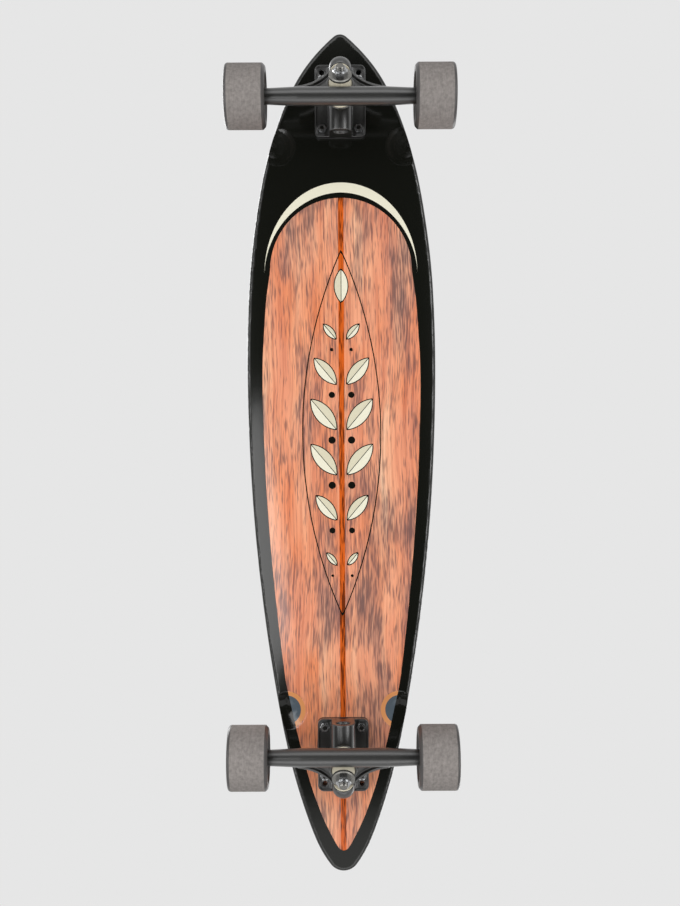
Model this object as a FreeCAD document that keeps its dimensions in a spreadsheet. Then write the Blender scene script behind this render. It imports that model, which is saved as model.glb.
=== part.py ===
import FreeCAD, Part
import math
import os
import Sketcher

# Pintail longboard skateboard, wheels on the floor at z = 0.
# X runs along the board towards the nose, Y across it and Z up.
# Lengths are in millimetres and angles in degrees.

DRIVING_SIZES = {
    # Deck
    "deck_length": 945.6,
    "deck_width": 213.0,
    "deck_thickness": 11.5,
    "deck_flat_width": 70.0,
    "concave_radius": 600.0,
    "rail_radius": 4.2,
    "nose_tip_bend": 11.0,
    "nose_angle": 50.0,
    "tail_tip_bend": 18.5,
    "tail_angle": 38.0,
    "grip_thickness": 0.9,
    "grip_inset": 5.5,
    "well_radius": 21.4,
    "well_depth": 3.2,
    "well_setback": 37.5,
    "front_well_offset": 75.0,
    "rear_well_offset": 64.0,
    # Truck positions and fasteners
    "nose_overhang": 78.8,
    "tail_overhang": 133.8,
    "riser_thickness": 3.0,
    "bolt_gauge": 41.28,
    "inner_bolt_reach": 31.75,
    "outer_bolt_reach": 22.23,
    "spare_hole_reach": 31.75,
    "bolt_diameter": 4.8,
    "bolt_hole_clearance": 0.3,
    "bolt_head_diameter": 9.4,
    "bolt_head_rim": 0.7,
    "bolt_head_sink": 0.2,
    "bolt_socket_flats": 3.2,
    "bolt_socket_depth": 2.2,
    "bolt_thread_over": 2.0,
    "bolt_nut_flats": 9.5,
    "bolt_nut_height": 4.2,
    "bolt_nut_collar": 1.8,
    # Baseplate
    "plate_length": 81.0,
    "plate_width": 57.0,
    "plate_thickness": 6.0,
    "plate_corner": 6.5,
    "plate_rim_width": 1.5,
    "plate_rim_height": 0.9,
    "boss_radius": 12.9,
    "boss_drop": 41.0,
    "boss_reach": 3.0,
    "boss_notch_radius": 8.0,
    "boss_notch_depth": 3.0,
    "rib_thickness": 2.0,
    "rib_height": 8.0,
    "rib_inner_reach": 15.0,
    "rib_outer_reach": 36.0,
    "housing_radius": 12.5,
    "housing_face": 28.2,
    "housing_centre": 33.7,
    "housing_root": 11.0,
    # Steering geometry
    "steer_angle": 35.0,
    "axle_drop": 63.0,
    "axle_setback": 11.0,
    "axle_to_kingpin": 19.0,
    "axle_rake": 4.5,
    # Kingpin stack
    "kingpin_diameter": 9.5,
    "kingpin_clearance": 0.1,
    "kingpin_bury": 24.0,
    "kingpin_over": 3.0,
    "kingpin_flats": 14.3,
    "kingpin_head_height": 6.0,
    "kingpin_nut_height": 5.6,
    "kingpin_nut_collar": 2.4,
    "counterbore_radius": 9.0,
    "bushing_radius": 12.4,
    "bushing_tip_radius": 10.4,
    "bushing_length": 13.0,
    "bushing_bore_gap": 0.25,
    "bushing_edge": 1.2,
    "bushing_washer_radius": 12.2,
    "bushing_washer_thickness": 1.6,
    "bushing_washer_lip": 1.4,
    # Hanger
    "ring_thickness": 8.0,
    "ring_wall": 2.6,
    "ring_wall_height": 2.4,
    "ring_hole_radius": 8.0,
    "seat_gap": 0.5,
    "hanger_width": 180.0,
    "hanger_mid_radius": 10.2,
    "hanger_end_radius": 8.25,
    "hanger_shoulder": 46.0,
    "yoke_root_reach": 50.0,
    "yoke_root_setback": 1.0,
    "yoke_waist_reach": 14.0,
    "yoke_waist_along": 22.0,
    "yoke_nose_reach": 11.4,
    "yoke_nose_along": 25.4,
    "yoke_sweep_radius": 50.0,
    "yoke_rim_width": 2.4,
    "yoke_recess": 4.0,
    "nose_root_along": 17.0,
    "nose_root_radius": 8.8,
    "nose_radius": 8.2,
    "nose_tip_radius": 5.9,
    "nose_tip_along": 39.2,
    "nose_tip_edge": 1.6,
    "pivot_fit": 0.08,
    "cup_wall": 2.0,
    "cup_flange_radius": 10.7,
    "cup_flange_thickness": 1.5,
    "cup_floor": 1.6,
    # Axle stack
    "axle_diameter": 8.0,
    "axle_over": 1.0,
    "axle_end_chamfer": 0.8,
    "axle_nut_flats": 12.7,
    "axle_nut_height": 4.4,
    "axle_nut_collar": 1.8,
    "speed_washer_radius": 6.4,
    "speed_washer_thickness": 1.0,
    "spacer_length": 10.0,
    "spacer_radius": 5.6,
    # Bearings
    "bearing_diameter": 22.0,
    "bearing_width": 7.0,
    "bearing_edge": 0.4,
    "pitch_radius": 7.5,
    "ball_diameter": 3.97,
    "ball_clearance": 0.05,
    "inner_land_radius": 6.05,
    "outer_land_radius": 9.1,
    "shield_inset": 0.35,
    "shield_thickness": 0.4,
    "shield_gap": 0.3,
    "retainer_inner_radius": 6.9,
    "retainer_outer_radius": 8.2,
    "retainer_thickness": 0.5,
    # Wheels
    "wheel_diameter": 70.0,
    "wheel_width": 43.2,
    "wheel_inset": 9.8,
    "inner_lip_width": 3.0,
    "inner_lip_drop": 3.2,
    "outer_lip_radius": 3.2,
    "wheel_face_band": 5.0,
    "core_radius": 22.0,
    "core_margin": 2.0,
    "core_shoulder_radius": 9.8,
    "core_edge": 1.0,
}

BALL_COUNT = 7

# Deck outline: share of the length from the nose, and share of the half width.
OUTLINE_SHARES = (
    (0.0300, 0.318),
    (0.0575, 0.478),
    (0.0843, 0.591),
    (0.1194, 0.707),
    (0.1553, 0.796),
    (0.1913, 0.865),
    (0.2632, 0.957),
    (0.3200, 0.990),
    (0.3890, 1.005),
    (0.4609, 0.994),
    (0.5328, 0.967),
    (0.6047, 0.921),
    (0.6766, 0.852),
    (0.7486, 0.765),
    (0.8205, 0.656),
    (0.8700, 0.562),
    (0.9104, 0.460),
    (0.9463, 0.353),
)


# Shares that shape small features: a nut's bevel, a screw's point, and how far cutting shapes overreach.
NUT_BEVEL_SHARE = 1 / 6
POINT_SHARE = 1 / 5
CUT_REACH_SHARE = 3 / 2
WALL_EDGE_SHARE = 9 / 10


class Size:
    """A size that carries its number and the sheet expression behind it."""

    def __init__(self, number, text):
        self.number = float(number)
        self.text = text

    def __add__(self, other):
        other = as_size(other)
        return Size(self.number + other.number, f"({self.text} + {other.text})")

    __radd__ = __add__

    def __sub__(self, other):
        other = as_size(other)
        return Size(self.number - other.number, f"({self.text} - {other.text})")

    def __rsub__(self, other):
        return as_size(other) - self

    def __mul__(self, other):
        other = as_size(other)
        return Size(self.number * other.number, f"({self.text} * {other.text})")

    __rmul__ = __mul__

    def __truediv__(self, other):
        other = as_size(other)
        return Size(self.number / other.number, f"({self.text} / {other.text})")

    def __neg__(self):
        return Size(-self.number, f"(-{self.text})")


def as_size(value):
    """Gives a plain number the same form as a size from the sheet."""
    if isinstance(value, Size):
        return value
    return Size(value, f"({float(value)})")


def number(value):
    """The number behind a size."""
    return as_size(value).number


def cosine(angle):
    """Cosine of an angle from the sheet."""
    return Size(math.cos(math.radians(angle.number)), f"cos({angle.text} * 1 deg)")


def sine(angle):
    """Sine of an angle from the sheet."""
    return Size(math.sin(math.radians(angle.number)), f"sin({angle.text} * 1 deg)")


def leg(hypotenuse, other_leg):
    """The third side of a right triangle."""
    square = hypotenuse * hypotenuse - other_leg * other_leg
    return Size(math.sqrt(square.number), f"sqrt({square.text})")


doc = FreeCAD.newDocument("Longboard")
sheet = doc.addObject("Spreadsheet::Sheet", "Sizes")
size = {}
for row, (alias, value) in enumerate(DRIVING_SIZES.items(), start=1):
    sheet.set(f"A{row}", alias)
    sheet.set(f"B{row}", str(value))
    sheet.setAlias(f"B{row}", alias)
    size[alias] = Size(value, f"Sizes.{alias}")
doc.recompute()

ORIGIN = -1
CENTRE = 3
ALONG_X = FreeCAD.Vector(1, 0, 0)
ALONG_Y = FreeCAD.Vector(0, 1, 0)
ALONG_Z = FreeCAD.Vector(0, 0, 1)


def new_body(label):
    """An empty body with its own label."""
    body = doc.addObject("PartDesign::Body", label)
    body.Label = label
    return body


def new_sketch(body, role, lift=0):
    """A sketch on one of the body's origin planes, raised along the plane's normal by lift."""
    sketch = body.newObject("Sketcher::SketchObject", f"{body.Label}_sketch")
    plane = next(item for item in body.Origin.OriginFeatures if item.Role == role)
    sketch.AttachmentSupport = [(plane, "")]
    sketch.MapMode = "FlatFace"
    if isinstance(lift, Size):
        sketch.setExpression("AttachmentOffset.Base.z", lift.text)
    return sketch


def arc_edge(start, end, radius):
    """A minor arc from start to end, centred on the left of its travel for a positive radius."""
    chord = end - start
    middle = (start + end) * 0.5
    across = FreeCAD.Vector(-chord.y, chord.x, 0).normalize()
    reach = math.sqrt(max(radius * radius - chord.Length * chord.Length / 4, 0))
    centre = middle + across * (reach if radius > 0 else -reach)
    first, last = (start, end) if radius > 0 else (end, start)
    angle_first = math.atan2(first.y - centre.y, first.x - centre.x)
    angle_last = math.atan2(last.y - centre.y, last.x - centre.x)
    if angle_last < angle_first:
        angle_last += 2 * math.pi
    arc = Part.ArcOfCircle(Part.Circle(centre, ALONG_Z, abs(radius)), angle_first, angle_last)
    return (arc, 1, 2) if radius > 0 else (arc, 2, 1)


def draw_outline(sketch, corners):
    """Draws a closed outline whose corners are held at sizes from the sheet.

    A third value in a corner bends the edge that leaves it to that radius.
    """
    count = len(corners)
    spots = [FreeCAD.Vector(number(corner[0]), number(corner[1]), 0) for corner in corners]
    first = sketch.GeometryCount
    begins = []
    ends = []
    for index, corner in enumerate(corners):
        here = spots[index]
        there = spots[(index + 1) % count]
        if len(corner) == 3:
            edge, begin, end = arc_edge(here, there, number(corner[2]))
        else:
            edge, begin, end = Part.LineSegment(here, there), 1, 2
        sketch.addGeometry(edge, False)
        begins.append(begin)
        ends.append(end)
    rules = []
    bound = []
    for index, corner in enumerate(corners):
        edge = first + index
        after = (index + 1) % count
        rules.append(Sketcher.Constraint("Coincident", edge, ends[index], first + after, begins[after]))
        for kind, axis, value in (("DistanceX", -2, corner[0]), ("DistanceY", -1, corner[1])):
            if isinstance(value, Size):
                bound.append((len(rules), value.text))
                rules.append(Sketcher.Constraint(kind, ORIGIN, 1, edge, begins[index], value.number))
            else:
                rules.append(Sketcher.Constraint("PointOnObject", edge, begins[index], axis))
        if len(corner) == 3:
            radius = corner[2] if number(corner[2]) > 0 else -corner[2]
            bound.append((len(rules), radius.text))
            rules.append(Sketcher.Constraint("Radius", edge, radius.number))
    start = sketch.ConstraintCount
    sketch.addConstraint(rules)
    for offset, text in bound:
        sketch.setExpression(f"Constraints[{start + offset}]", text)


def draw_circle(sketch, x, y, radius):
    """Draws a circle whose centre and radius are held at sizes from the sheet."""
    spot = FreeCAD.Vector(number(x), number(y), 0)
    edge = sketch.addGeometry(Part.Circle(spot, ALONG_Z, number(radius)), False)
    for kind, axis, value in (("DistanceX", -2, x), ("DistanceY", -1, y)):
        if isinstance(value, Size):
            rule = sketch.addConstraint(Sketcher.Constraint(kind, ORIGIN, 1, edge, CENTRE, value.number))
            sketch.setExpression(f"Constraints[{rule}]", value.text)
        else:
            sketch.addConstraint(Sketcher.Constraint("PointOnObject", edge, CENTRE, axis))
    rule = sketch.addConstraint(Sketcher.Constraint("Radius", edge, radius.number))
    sketch.setExpression(f"Constraints[{rule}]", radius.text)


def draw_rectangle(sketch, x_low, x_high, y_low, y_high):
    """Draws a rectangle between two corners."""
    draw_outline(sketch, [(x_low, y_low), (x_high, y_low), (x_high, y_high), (x_low, y_high)])


def draw_hexagon(sketch, flats):
    """Draws a hexagon about the origin, given its width across flats."""
    half = flats / 2
    point = flats / math.sqrt(3)
    corners = [(point, 0), (point / 2, half), (-point / 2, half)]
    corners += [(-point, 0), (-point / 2, -half), (point / 2, -half)]
    draw_outline(sketch, corners)


def pad(body, sketch, length, upward=True, both_ways=False):
    """Adds a pad of the sketch, in its normal's direction, against it or half each way."""
    feature = body.newObject("PartDesign::Pad", f"{body.Label}_pad")
    feature.Profile = sketch
    feature.setExpression("Length", length.text)
    feature.Reversed = not upward
    feature.Midplane = both_ways
    return feature


def pocket(body, sketch, depth=None, upward=False):
    """Cuts the sketch into the body, right through both ways if no depth is given."""
    feature = body.newObject("PartDesign::Pocket", f"{body.Label}_pocket")
    feature.Profile = sketch
    if depth is None:
        feature.Type = "ThroughAll"
        feature.Midplane = True
    else:
        feature.setExpression("Length", depth.text)
        feature.Reversed = upward
    return feature


def turn(body, kind, sketch, axis="H_Axis"):
    """Adds a full revolution or groove of the sketch about one of its axes."""
    feature = body.newObject(f"PartDesign::{kind}", f"{body.Label}_turn")
    feature.Profile = sketch
    feature.ReferenceAxis = (sketch, [axis])
    feature.Angle = 360
    return feature


def turned_body(label, corners, placement):
    """A body turned about its own X axis from corners given as distance along and radius."""
    body = new_body(label)
    sketch = new_sketch(body, "XY_Plane")
    draw_outline(sketch, corners)
    turn(body, "Revolution", sketch)
    body.Placement = placement
    return body


def lock_nut(label, start, flats, height, collar, bore, placement):
    """A hexagon nut along X with chamfered corners and a round locking collar on its far face."""
    body = new_body(label)
    blank = new_sketch(body, "YZ_Plane", start)
    draw_hexagon(blank, flats)
    pad(body, blank, height)
    half = flats / 2
    beyond = flats
    slope = height * NUT_BEVEL_SHARE
    bevel = new_sketch(body, "XY_Plane")
    finish = start + height
    draw_outline(bevel, [(finish, half), (finish, beyond), (finish - slope, beyond)])
    draw_outline(bevel, [(start, half), (start + slope, beyond), (start, beyond)])
    turn(body, "Groove", bevel)
    ring = new_sketch(body, "YZ_Plane", finish)
    draw_circle(ring, 0, 0, half - slope)
    pad(body, ring, collar)
    hole = new_sketch(body, "YZ_Plane")
    draw_circle(hole, 0, 0, bore)
    pocket(body, hole)
    body.Placement = placement
    return body


def grouped(label, members):
    """One node made of several like pieces."""
    group = doc.addObject("Part::Compound", label)
    group.Label = label
    group.Links = members
    return group


# Places shared by several pieces.
wheel_radius = size["wheel_diameter"] / 2
plate_level = wheel_radius + size["axle_drop"]
deck_level = plate_level + size["riser_thickness"]
hole_radius = size["bolt_diameter"] / 2 + size["bolt_hole_clearance"]
bolt_side = size["bolt_gauge"] / 2
cos_steer = cosine(size["steer_angle"])
sin_steer = sine(size["steer_angle"])
ring_x = size["axle_to_kingpin"] * cos_steer - size["axle_rake"] * sin_steer - size["axle_setback"]
ring_z = size["axle_to_kingpin"] * sin_steer + size["axle_rake"] * cos_steer - size["axle_drop"]

truck_x = {
    "front": size["deck_length"] / 2 - size["nose_overhang"],
    "rear": size["tail_overhang"] - size["deck_length"] / 2,
}
facing = {"front": 0, "rear": 180}
truck_frames = {
    end: FreeCAD.Placement(
        FreeCAD.Vector(number(truck_x[end]), 0, number(plate_level)),
        FreeCAD.Rotation(ALONG_Z, facing[end]))
    for end in ("front", "rear")
}
ring_spot = FreeCAD.Vector(number(ring_x), 0, number(ring_z))
steer_frame = FreeCAD.Placement(ring_spot, FreeCAD.Rotation(ALONG_Y, -number(size["steer_angle"])))
kingpin_frame = FreeCAD.Placement(ring_spot, FreeCAD.Rotation(ALONG_Y, 90 - number(size["steer_angle"])))
axle_spot = FreeCAD.Vector(-number(size["axle_setback"]), 0, -number(size["axle_drop"]))
outward = {"front": 1, "rear": -1}


def beside_steering(along, across):
    """A point of a truck's side view: along the steering axis from the ring, and across it to the road."""
    x = ring_x + along * cos_steer + across * sin_steer
    z = ring_z + along * sin_steer - across * cos_steer
    return (x, z)


def beside_kingpin(along, across):
    """A point of a truck's side view: along the kingpin to the road, and across it to the board's end."""
    return beside_steering(across, along)


def bolt_spots(reaches):
    """Bolt places of one truck: distance to the board's end and sideways."""
    return [(reach, side) for reach in reaches for side in (bolt_side, -bolt_side)]


used_reaches = [-size["inner_bolt_reach"], size["outer_bolt_reach"]]
plate_reaches = used_reaches + [size["spare_hole_reach"]]


def slab_outline(sketch, low, high, half_span):
    """Cross-section of a sheet with a flat middle and upswept sides, between two levels."""
    flat = size["deck_flat_width"] / 2
    run = half_span - flat
    low_radius = size["concave_radius"] - low
    high_radius = size["concave_radius"] - high
    low_edge = size["concave_radius"] - leg(low_radius, run)
    high_edge = size["concave_radius"] - leg(high_radius, run)
    draw_outline(sketch, [
        (-half_span, low_edge, low_radius), (-flat, low), (flat, low, low_radius), (half_span, low_edge),
        (half_span, high_edge, -high_radius), (flat, high), (-flat, high, -high_radius),
        (-half_span, high_edge),
    ])


def tip_join(radius, angle):
    """Where a round tip meets the deck's side: back from the tip, and sideways."""
    return radius - radius * sine(angle), radius * cosine(angle)


def draw_deck_edge(sketch, inset):
    """Draws the deck's outline, drawn in by inset: round nose and tail joined by two smooth sides."""
    half_length = size["deck_length"] / 2 - inset
    half_width = number(size["deck_width"] / 2 - inset)
    nose_back, nose_side = tip_join(size["nose_tip_bend"], size["nose_angle"])
    tail_back, tail_side = tip_join(size["tail_tip_bend"], size["tail_angle"])
    leave = math.radians(number(size["nose_angle"]))
    arrive = math.radians(number(size["tail_angle"]))
    nose_bend = number(size["nose_tip_bend"])
    tail_bend = number(size["tail_tip_bend"])
    for side in (1, -1):
        first = FreeCAD.Vector(number(half_length - nose_back), side * number(nose_side), 0)
        last = FreeCAD.Vector(number(tail_back - half_length), side * number(tail_side), 0)
        onward = FreeCAD.Vector(-math.cos(leave), side * math.sin(leave), 0) * nose_bend
        closing = FreeCAD.Vector(-math.cos(arrive), -side * math.sin(arrive), 0) * tail_bend
        poles = [first, first + onward]
        for along, across in OUTLINE_SHARES:
            x = number(half_length) * (1 - 2 * along)
            poles.append(FreeCAD.Vector(x, side * half_width * across, 0))
        poles += [last - closing, last]
        curve = Part.BSplineCurve()
        curve.buildFromPoles(poles)
        sketch.addGeometry(curve, False)
    for tip, back, sideways in ((half_length, nose_back, nose_side), (-half_length, -tail_back, tail_side)):
        ends = [FreeCAD.Vector(number(tip - back), side * number(sideways), 0) for side in (-1, 1)]
        arc = Part.Arc(ends[0], FreeCAD.Vector(number(tip), 0, 0), ends[1])
        sketch.addGeometry(arc, False)


def sheet_body(label, low, high, inset):
    """A sheet of the deck's outline and concave between two levels."""
    body = new_body(label)
    span = size["deck_width"] / 2 + size["grip_inset"]
    section = new_sketch(body, "YZ_Plane")
    slab_outline(section, low, high, span)
    pad(body, section, size["deck_length"] + size["grip_inset"] * 2, both_ways=True)
    around = new_sketch(body, "XY_Plane")
    end = size["deck_length"] / 2 + size["deck_width"]
    side = size["deck_width"]
    draw_rectangle(around, -end, end, -side, side)
    draw_deck_edge(around, inset)
    trim = pocket(body, around)
    doc.recompute()
    return body, trim


def deck_holes(body, radius):
    """Cuts the eight truck bolt holes through a sheet."""
    holes = new_sketch(body, "XY_Plane")
    for end in ("front", "rear"):
        for reach, side in bolt_spots(used_reaches):
            draw_circle(holes, truck_x[end] + outward[end] * reach, side, radius)
    return pocket(body, holes)


def place_by_sheet(feature, x, y, z):
    """Binds a feature's position to the sheet."""
    for axis, value in (("x", x), ("y", y), ("z", z)):
        feature.setExpression(f"Placement.Base.{axis}", as_size(value).text)


def make_deck():
    """The plywood deck: rounded rails, four wheel wells and countersunk bolt holes."""
    body, trim = sheet_body("deck", as_size(0), size["deck_thickness"], as_size(0))
    upright = WALL_EDGE_SHARE * number(size["deck_thickness"])
    sheet_faces = ("Part::GeomPlane", "Part::GeomCylinder")
    walls = [face for face in trim.Shape.Faces if face.Surface.TypeId not in sheet_faces]
    rails = []
    for index, edge in enumerate(trim.Shape.Edges, start=1):
        on_wall = any(edge.isSame(other) for wall in walls for other in wall.Edges)
        if on_wall and edge.BoundBox.ZLength < upright:
            rails.append(f"Edge{index}")
    rounding = body.newObject("PartDesign::Fillet", "deck_rails")
    rounding.Base = (trim, rails)
    rounding.setExpression("Radius", size["rail_radius"].text)
    body.Tip = rounding
    doc.recompute()
    well_sphere = (size["well_radius"] * size["well_radius"] + size["well_depth"] * size["well_depth"])
    well_sphere = well_sphere / (size["well_depth"] * 2)
    for end in ("front", "rear"):
        offset = size[f"{end}_well_offset"]
        run = offset - size["deck_flat_width"] / 2
        rise = size["concave_radius"] - leg(size["concave_radius"], run)
        along = truck_x[end] - outward[end] * (size["axle_setback"] + size["well_setback"])
        for side in (1, -1):
            well = body.newObject("PartDesign::SubtractiveSphere", f"{end}_well")
            well.setExpression("Radius", well_sphere.text)
            place_by_sheet(well, along, offset * side, rise + size["well_depth"] - well_sphere)
    deck_holes(body, hole_radius)
    sink_radius = size["bolt_head_diameter"] / 2 + size["bolt_hole_clearance"]
    for end in ("front", "rear"):
        for reach, side in bolt_spots(used_reaches):
            sink = body.newObject("PartDesign::SubtractiveCone", "countersink")
            depth = sink_radius - hole_radius
            sink.setExpression("Radius1", hole_radius.text)
            sink.setExpression("Radius2", sink_radius.text)
            sink.setExpression("Height", depth.text)
            place_by_sheet(sink, truck_x[end] + outward[end] * reach, side, size["deck_thickness"] - depth)
    body.Placement = FreeCAD.Placement(FreeCAD.Vector(0, 0, number(deck_level)), FreeCAD.Rotation())
    return body


def make_grip_tape():
    """The abrasive sheet on the deck's top face."""
    top = size["deck_thickness"]
    body, trim = sheet_body("grip_tape", top, top + size["grip_thickness"], size["grip_inset"])
    deck_holes(body, size["bolt_head_diameter"] / 2 + size["bolt_hole_clearance"])
    body.Placement = FreeCAD.Placement(FreeCAD.Vector(0, 0, number(deck_level)), FreeCAD.Rotation())
    return body


def plate_outline(sketch, inset):
    """The baseplate's rectangle with rounded corners, drawn in by inset."""
    reach = size["plate_length"] / 2 - inset
    half = size["plate_width"] / 2 - inset
    bend = size["plate_corner"] - inset
    draw_outline(sketch, [
        (-reach + bend, -half), (reach - bend, -half, bend),
        (reach, -half + bend), (reach, half - bend, bend),
        (reach - bend, half), (-reach + bend, half, bend),
        (-reach, half - bend), (-reach, -half + bend, bend),
    ])


def make_riser_pad(end):
    """The pad between baseplate and deck."""
    body = new_body(f"{end}_riser_pad")
    outline = new_sketch(body, "XY_Plane")
    plate_outline(outline, as_size(0))
    pad(body, outline, size["riser_thickness"])
    holes = new_sketch(body, "XY_Plane")
    for reach, side in bolt_spots(plate_reaches):
        draw_circle(holes, reach, side, hole_radius)
    pocket(body, holes)
    body.Placement = truck_frames[end]
    return body


def add_axis(sketch, start, finish):
    """Adds a construction line for a groove to turn about."""
    first = FreeCAD.Vector(number(start[0]), number(start[1]), 0)
    last = FreeCAD.Vector(number(finish[0]), number(finish[1]), 0)
    line = sketch.addGeometry(Part.LineSegment(first, last), True)
    for point, spot in ((1, start), (2, finish)):
        for kind, value in (("DistanceX", spot[0]), ("DistanceY", spot[1])):
            rule = sketch.addConstraint(Sketcher.Constraint(kind, ORIGIN, 1, line, point, value.number))
            sketch.setExpression(f"Constraints[{rule}]", value.text)


# Distances along the kingpin from the ring's centre, positive to the road.
half_ring = size["ring_thickness"] / 2
bushing_far = half_ring + size["bushing_length"]
washer_far = bushing_far + size["bushing_washer_thickness"]
seat_along = -washer_far
shoulder_along = seat_along - size["kingpin_bury"]
kingpin_radius = size["kingpin_diameter"] / 2
cup_end = size["nose_tip_along"] + size["cup_floor"]


def make_baseplate(end):
    """The cast baseplate: plate, kingpin boss with its slanted seat, and domed pivot housing."""
    body = new_body(f"{end}_baseplate")
    reach = size["plate_length"] / 2
    thick = size["plate_thickness"]
    outline = new_sketch(body, "XY_Plane")
    plate_outline(outline, as_size(0))
    pad(body, outline, thick, upward=False)
    rim = new_sketch(body, "XY_Plane", -thick)
    plate_outline(rim, as_size(0))
    plate_outline(rim, size["plate_rim_width"])
    pad(body, rim, size["plate_rim_height"], upward=False)

    arch = new_sketch(body, "YZ_Plane", -reach)
    wide = size["boss_radius"]
    spring = wide - size["boss_drop"]
    draw_outline(arch, [
        (wide, -thick / 2), (-wide, -thick / 2), (-wide, spring, wide),
        (0, -size["boss_drop"], wide), (wide, spring),
    ])
    pad(body, arch, reach + size["boss_reach"])
    seat = new_sketch(body, "XZ_Plane")
    away = size["boss_drop"] + seat_along
    draw_outline(seat, [
        beside_kingpin(seat_along, -size["boss_drop"]), beside_kingpin(away, -size["boss_drop"]),
        beside_kingpin(away, size["boss_radius"] * 2), beside_kingpin(seat_along, size["boss_radius"] * 2),
    ])
    pocket(body, seat)
    notch = new_sketch(body, "YZ_Plane", -reach)
    draw_circle(notch, 0, spring, size["boss_notch_radius"])
    pocket(body, notch, size["boss_notch_depth"], upward=True)

    dome_x, dome_z = beside_steering(size["housing_centre"], as_size(0))
    round_side = size["housing_radius"]
    column = new_sketch(body, "XY_Plane")
    draw_outline(column, [
        (size["housing_root"], -round_side), (dome_x, -round_side, round_side),
        (dome_x + round_side, 0, round_side), (dome_x, round_side), (size["housing_root"], round_side),
    ])
    pad(body, column, -dome_z, upward=False)
    dome = body.newObject("PartDesign::AdditiveSphere", f"{end}_dome")
    dome.setExpression("Radius", round_side.text)
    place_by_sheet(dome, dome_x, 0, dome_z)
    ribs = new_sketch(body, "XY_Plane")
    for low in (round_side, -round_side - size["rib_thickness"]):
        high = low + size["rib_thickness"]
        draw_rectangle(ribs, size["rib_inner_reach"], size["rib_outer_reach"], low, high)
    pad(body, ribs, thick + size["rib_height"], upward=False)
    face = new_sketch(body, "XZ_Plane")
    face_top = (ring_z + size["housing_face"] * sin_steer + thick) / cos_steer
    low_x, low_z = beside_steering(size["housing_face"], round_side * CUT_REACH_SHARE)
    top_x, top_z = beside_steering(size["housing_face"], face_top)
    inner_x = size["boss_reach"] * CUT_REACH_SHARE
    draw_outline(face, [(inner_x, -thick), (inner_x, low_z), (low_x, low_z), (top_x, -thick)])
    pocket(body, face)

    cup = new_sketch(body, "XZ_Plane")
    centre = as_size(0)
    add_axis(cup, beside_steering(centre, centre), beside_steering(size["housing_centre"], centre))
    mouth = size["housing_face"]
    outer = size["nose_radius"] + size["cup_wall"]
    inner = size["nose_tip_radius"] + size["cup_wall"]
    before = mouth - size["cup_wall"]
    draw_outline(cup, [
        beside_steering(before, centre), beside_steering(before, outer), beside_steering(mouth, outer),
        beside_steering(cup_end, inner), beside_steering(cup_end, centre),
    ])
    turn(body, "Groove", cup, "Axis0")
    bore = new_sketch(body, "XZ_Plane")
    add_axis(bore, beside_kingpin(centre, centre), beside_kingpin(shoulder_along, centre))
    slim = kingpin_radius + size["kingpin_clearance"]
    start = seat_along + size["bushing_length"]
    finish = shoulder_along * 2
    draw_outline(bore, [
        beside_kingpin(start, centre), beside_kingpin(start, slim), beside_kingpin(shoulder_along, slim),
        beside_kingpin(shoulder_along, size["counterbore_radius"]),
        beside_kingpin(finish, size["counterbore_radius"]), beside_kingpin(finish, centre),
    ])
    turn(body, "Groove", bore, "Axis0")
    holes = new_sketch(body, "XY_Plane")
    for along, side in bolt_spots(plate_reaches):
        draw_circle(holes, along, side, hole_radius)
    pocket(body, holes)
    body.Placement = truck_frames[end]
    return body


def make_pivot_cup(end):
    """The urethane cup that the hanger's nose turns in."""
    fit = size["pivot_fit"]
    mouth = size["housing_face"]
    rear_face = mouth - size["cup_flange_thickness"]
    outer = size["nose_radius"] + size["cup_wall"]
    inner = size["nose_tip_radius"] + size["cup_wall"]
    tip = size["nose_tip_along"]
    edge = size["nose_tip_edge"]
    return turned_body(f"{end}_pivot_cup", [
        (rear_face, size["nose_radius"] + fit), (mouth, size["nose_radius"] + fit),
        (tip - edge + fit, size["nose_tip_radius"] + fit),
        (tip + fit, size["nose_tip_radius"] - edge + fit),
        (tip + fit, 0), (cup_end, 0), (cup_end, inner), (mouth, outer),
        (mouth, size["cup_flange_radius"]), (rear_face, size["cup_flange_radius"]),
    ], truck_frames[end] * steer_frame)


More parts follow.
